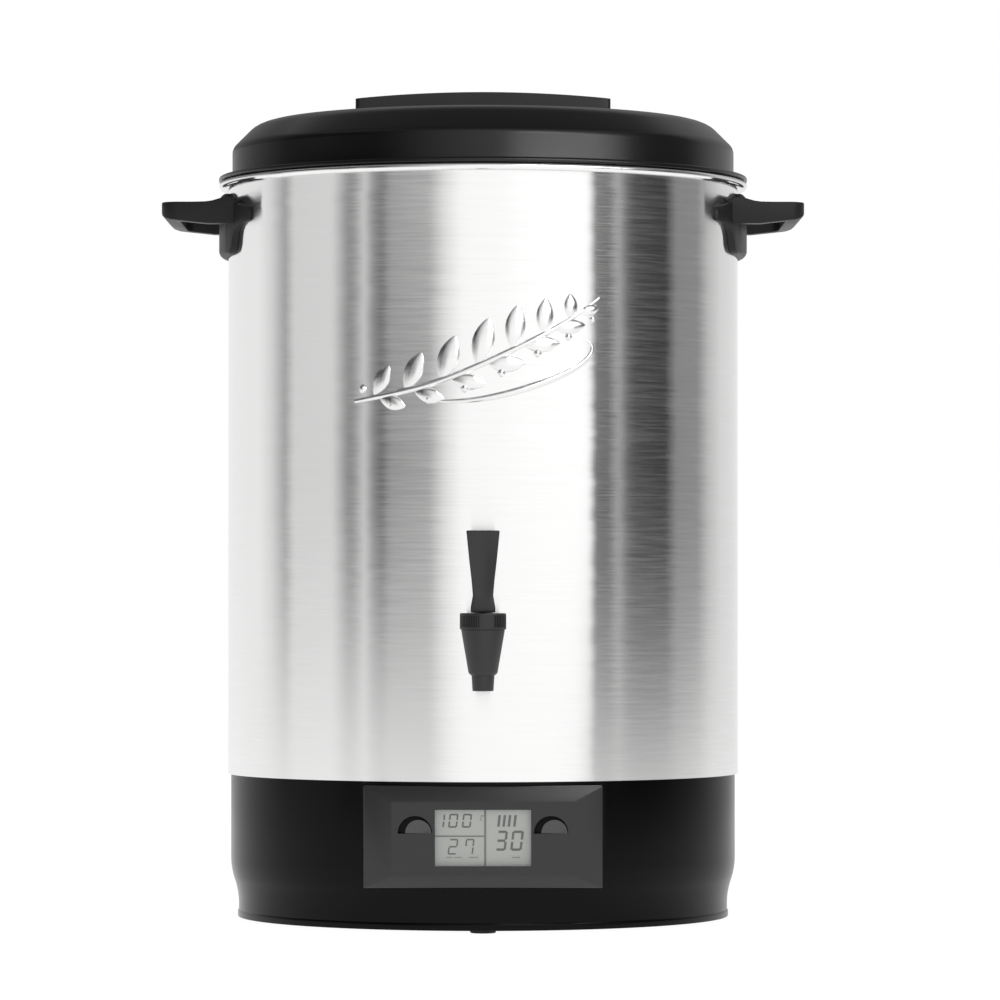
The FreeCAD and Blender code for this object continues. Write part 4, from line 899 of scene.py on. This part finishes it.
# %% Tap body
AXIS = (0.0, -210.0)
tap = turned("tap_cone", [
    (4.9, 159.7), (6.8, 159.7, 0.4), (7.4, 169.6), (8.0, 170.1), (9.4, 171.4, 0.6), (14.2, 199.5, 0.5),
    (10.9, 199.5), (10.9, 193.5), (4.9, 173.0)], steps=96, centre=AXIS)
shank = new_rod("shank", 8.0, (0, -200, 188), (0, -157, 188), "Y", 48)
shoulder = new_rod("shoulder", 9.6, (0, -181.7, 188), (0, -177.7, 188), "Y", 64)
soften(shoulder, 0.8, 3, 40)
combine(shank, shoulder, "UNION")
combine(tap, shank, "UNION")
hand_over(tap, "kettle", "tap_body")

# %% Ribbed collar
collar = turned("tap_collar", [
    (9.1, 194.6), (10.85, 194.6), (10.85, 199.5), (15.0, 199.5, 0.4), (15.0, 201.0), (15.0, 208.6),
    (15.0, 210.1, 0.9), (2.8, 210.1), (2.8, 206.6), (9.1, 206.6)], steps=120, centre=AXIS)


def rib_face(at, face):
    out = Vector((at.x, at.y + 210.0))
    turn = math.degrees(math.atan2(out.x, -out.y))
    smooth_flat = -8 < turn < 30
    return (out.length > 14.6 and 201.0 < at.z < 208.6 and not smooth_flat
            and int((turn + 180) // 3) % 2 == 0)


start_shaping(collar)
print("ribs:", pick(collar, "FACE", rib_face))
bpy.ops.mesh.inset(thickness=0.06 * MM, depth=-0.9 * MM, use_individual=True)
stop_shaping()
hand_over(collar, "kettle", "tap_bonnet")

# %% [markdown]
# The lever is one box drawn upwards in steps: a broad foot, a pinched neck, and a paddle that
# widens and thins to its top. Its front is then pressed in a little, as a thumb rest.

# %% Tap lever
lever = new_block("tap_paddle", (-8.0, -216.5, 210.4), (8.0, -203.5, 213.6))
STEPS = [(217.6, 7.3, -216.0, -203.9), (221.5, 6.6, -214.4, -205.4), (231, 7.4, -213.9, -206.0),
         (243, 8.8, -213.6, -206.5), (254, 9.9, -213.4, -207.0), (263.5, 10.85, -213.2, -207.4)]
start_shaping(lever)
pick(lever, "FACE", lambda at, face: face.normal.z > 0.9)
here = (213.6, 8.0, -216.5, -203.5)
for there in STEPS:
    bpy.ops.mesh.extrude_region_move(TRANSFORM_OT_translate={
        "value": (0, ((there[2] + there[3]) - (here[2] + here[3])) / 2 * MM,
                  (there[0] - here[0]) * MM)})
    bpy.ops.transform.resize(value=(there[1] / here[1],
                                    (there[3] - there[2]) / (here[3] - here[2]), 1))
    here = there
for share in (-0.45, 0.0, 0.45):
    bpy.ops.mesh.select_all(action="SELECT")
    bpy.ops.mesh.bisect(plane_co=(share * 8 * MM, 0, 0), plane_no=(1, 0, 0))
pick(lever, "VERT", lambda at, _: abs(at.x) < 3.8 and at.z > 225 and at.z < 262 and at.y < -212)
bpy.ops.transform.translate(value=(0, 1.6 * MM, 0))
stop_shaping()
soften(lever, 0.8, 3, 35)
combine(lever, new_block("slot", (-2.75, -215.4, 205), (2.75, -200, 219)))
combine(lever, new_rod("pin_hole", 1.05, (-15, -210, 214.5), (15, -210, 214.5), "X", 32))
hand_over(lever, "tap_lever", "tap_lever")

# %% Tap spring: one ring of wire wound upwards
COIL_LOW, COIL_HIGH, WIRE, TURNS_OF_WIRE, LIFT = 183.6, 206.5, 0.45, 5.5, 3.7
deselect()
bpy.ops.mesh.primitive_circle_add(vertices=14, radius=WIRE * MM, rotation=(math.pi / 2, 0, 0),
                                  location=(5.0 * MM, 0, (COIL_LOW + WIRE) * MM))
spring = settle(bpy.context.object, "tap_spring_coil")
coil = spring.modifiers.new("coil", "SCREW")
coil.angle = TURNS_OF_WIRE * math.tau
coil.screw_offset = (COIL_HIGH - COIL_LOW - WIRE * 2) * MM
coil.steps = coil.render_steps = 154
apply_last(spring)
start_shaping(spring)
bpy.ops.mesh.select_all(action="SELECT")
bpy.ops.mesh.fill_holes(sides=20)
bpy.ops.mesh.select_all(action="SELECT")
bpy.ops.mesh.normals_make_consistent(inside=False)
bpy.ops.transform.translate(value=(0, AXIS[1] * MM, 0))
stop_shaping()
hand_over(spring, "tap_plunger", "tap_spring")
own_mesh(spring)

# %% [markdown]
# ## The emblem
# The drum carries a raised ornament on its front. Here it is a plain sprig: a curved stem, leaves
# in pairs, small berries and one sweeping line below. One leaf is shaped from a sphere whose
# rings are narrowed towards its tips, then copied. All of it is laid out flat first and wrapped
# round the drum at the end.

# %% One leaf
deselect()
bpy.ops.mesh.primitive_uv_sphere_add(segments=20, ring_count=12, radius=1.0,
                                     rotation=(0, math.pi / 2, 0))
leaf = settle(bpy.context.object, "leaf")
start_shaping(leaf)
rings = sorted({round(v.co.x, 4) for v in bmesh.from_edit_mesh(leaf.data).verts})
for ring in rings[1:-1]:
    pick(leaf, "VERT", lambda at, _: abs(at.x * MM - ring) < 0.002)
    narrow = math.sqrt(max(0.02, 1 - ring * ring))
    bpy.ops.transform.resize(value=(1, narrow, narrow), center_override=(ring, 0, 0))
stop_shaping()
print("leaf with", len(rings), "rings")


def place_leaf(along, up, turn, length, width):
    """A copy of the leaf whose foot is at a place on the flat layout."""
    copy = leaf.copy()
    copy.data = leaf.data.copy()
    bpy.context.scene.collection.objects.link(copy)
    angle = math.radians(turn)
    copy.scale = (length / 2 * MM, 2.4 * MM, width * 0.62 * MM)
    copy.rotation_euler = (0, -angle, 0)
    copy.location = ((along + math.cos(angle) * length / 2) * MM, 0.35 * MM,
                     (up + math.sin(angle) * length / 2) * MM)
    return settle(copy, "sprig_leaf")


def sweep(name, points, thick):
    """A tube along a smooth line of (along, up, share of the thickness)."""
    line = bpy.data.curves.new(name, "CURVE")
    line.dimensions = "3D"
    path = line.splines.new("NURBS")
    path.points.add(len(points) - 1)
    for point, (along, up, share) in zip(path.points, points):
        point.co = (along * MM, 0.3 * MM, up * MM, 1)
        point.radius = share
    path.order_u = 4
    path.use_endpoint_u = True
    line.resolution_u = 10
    line.bevel_depth = thick * MM
    line.bevel_resolution = 3
    line.use_fill_caps = True
    tube = bpy.data.objects.new(name, line)
    bpy.context.scene.collection.objects.link(tube)
    take(tube)
    bpy.ops.object.convert(target="MESH")
    return bpy.context.object


# %% Lay out the sprig and wrap it round the drum
STEM = [(-88, 349, 0.6), (-70, 352, 1.0), (-40, 357, 1.0), (-8, 369, 1.0), (28, 386, 0.9),
        (58, 401, 0.8), (79, 417, 0.35)]
parts = [sweep("stem", STEM, 2.1),
         sweep("flourish", [(-34, 349, 0.3), (-12, 347, 0.9), (22, 354, 1.3), (54, 366, 1.1),
                            (74, 377, 0.8), (76, 388, 0.6), (66, 390, 0.3)], 2.0)]
LEAVES = [(-74, 352, 62, 24, 9), (-70, 351, -18, 20, 8), (-52, 355, 66, 29, 10.5),
          (-46, 355, -14, 22, 8.5), (-28, 361, 72, 33, 11.5), (-22, 363, -8, 25, 9),
          (-4, 371, 76, 34, 12), (2, 373, 0, 27, 9.5), (19, 382, 82, 31, 11),
          (26, 385, 4, 26, 9), (40, 392, 86, 25, 9.5), (47, 396, 8, 23, 8), (59, 402, 92, 18, 7.5),
          (65, 407, 14, 15, 6)]
parts += [place_leaf(*row) for row in LEAVES]
for along, up, size in ((-82, 357, 2.4), (-61, 346, 2.2), (-36, 350, 2.4), (-12, 357, 2.4),
                        (12, 367, 2.2), (36, 380, 2.2), (57, 391, 2.0), (74, 403, 1.8)):
    parts.append(place_leaf(along - size * 1.3, up, 0, size * 2.6, size * 2.2))
take(parts[0])
for piece in parts:
    piece.select_set(True)
bpy.ops.object.join()
emblem = settle(bpy.context.object, "sprig_emblem")
bpy.data.objects.remove(leaf)
DRUM = 0.175
for corner in emblem.data.vertices:
    along, out, up = corner.co
    reach = DRUM - out
    corner.co = (reach * math.sin(along / DRUM), -reach * math.cos(along / DRUM), up)
emblem_steel = brushed_round("emblem_steel", (0.90, 0.90, 0.895), 0.2, 0.03, stroke=(60, 60, 600))
hand_over(emblem, "kettle", finish=emblem_steel, angle=60)

# %% [markdown]
# ## Done

# %% Bring the scene up to date
bpy.context.view_layer.update()
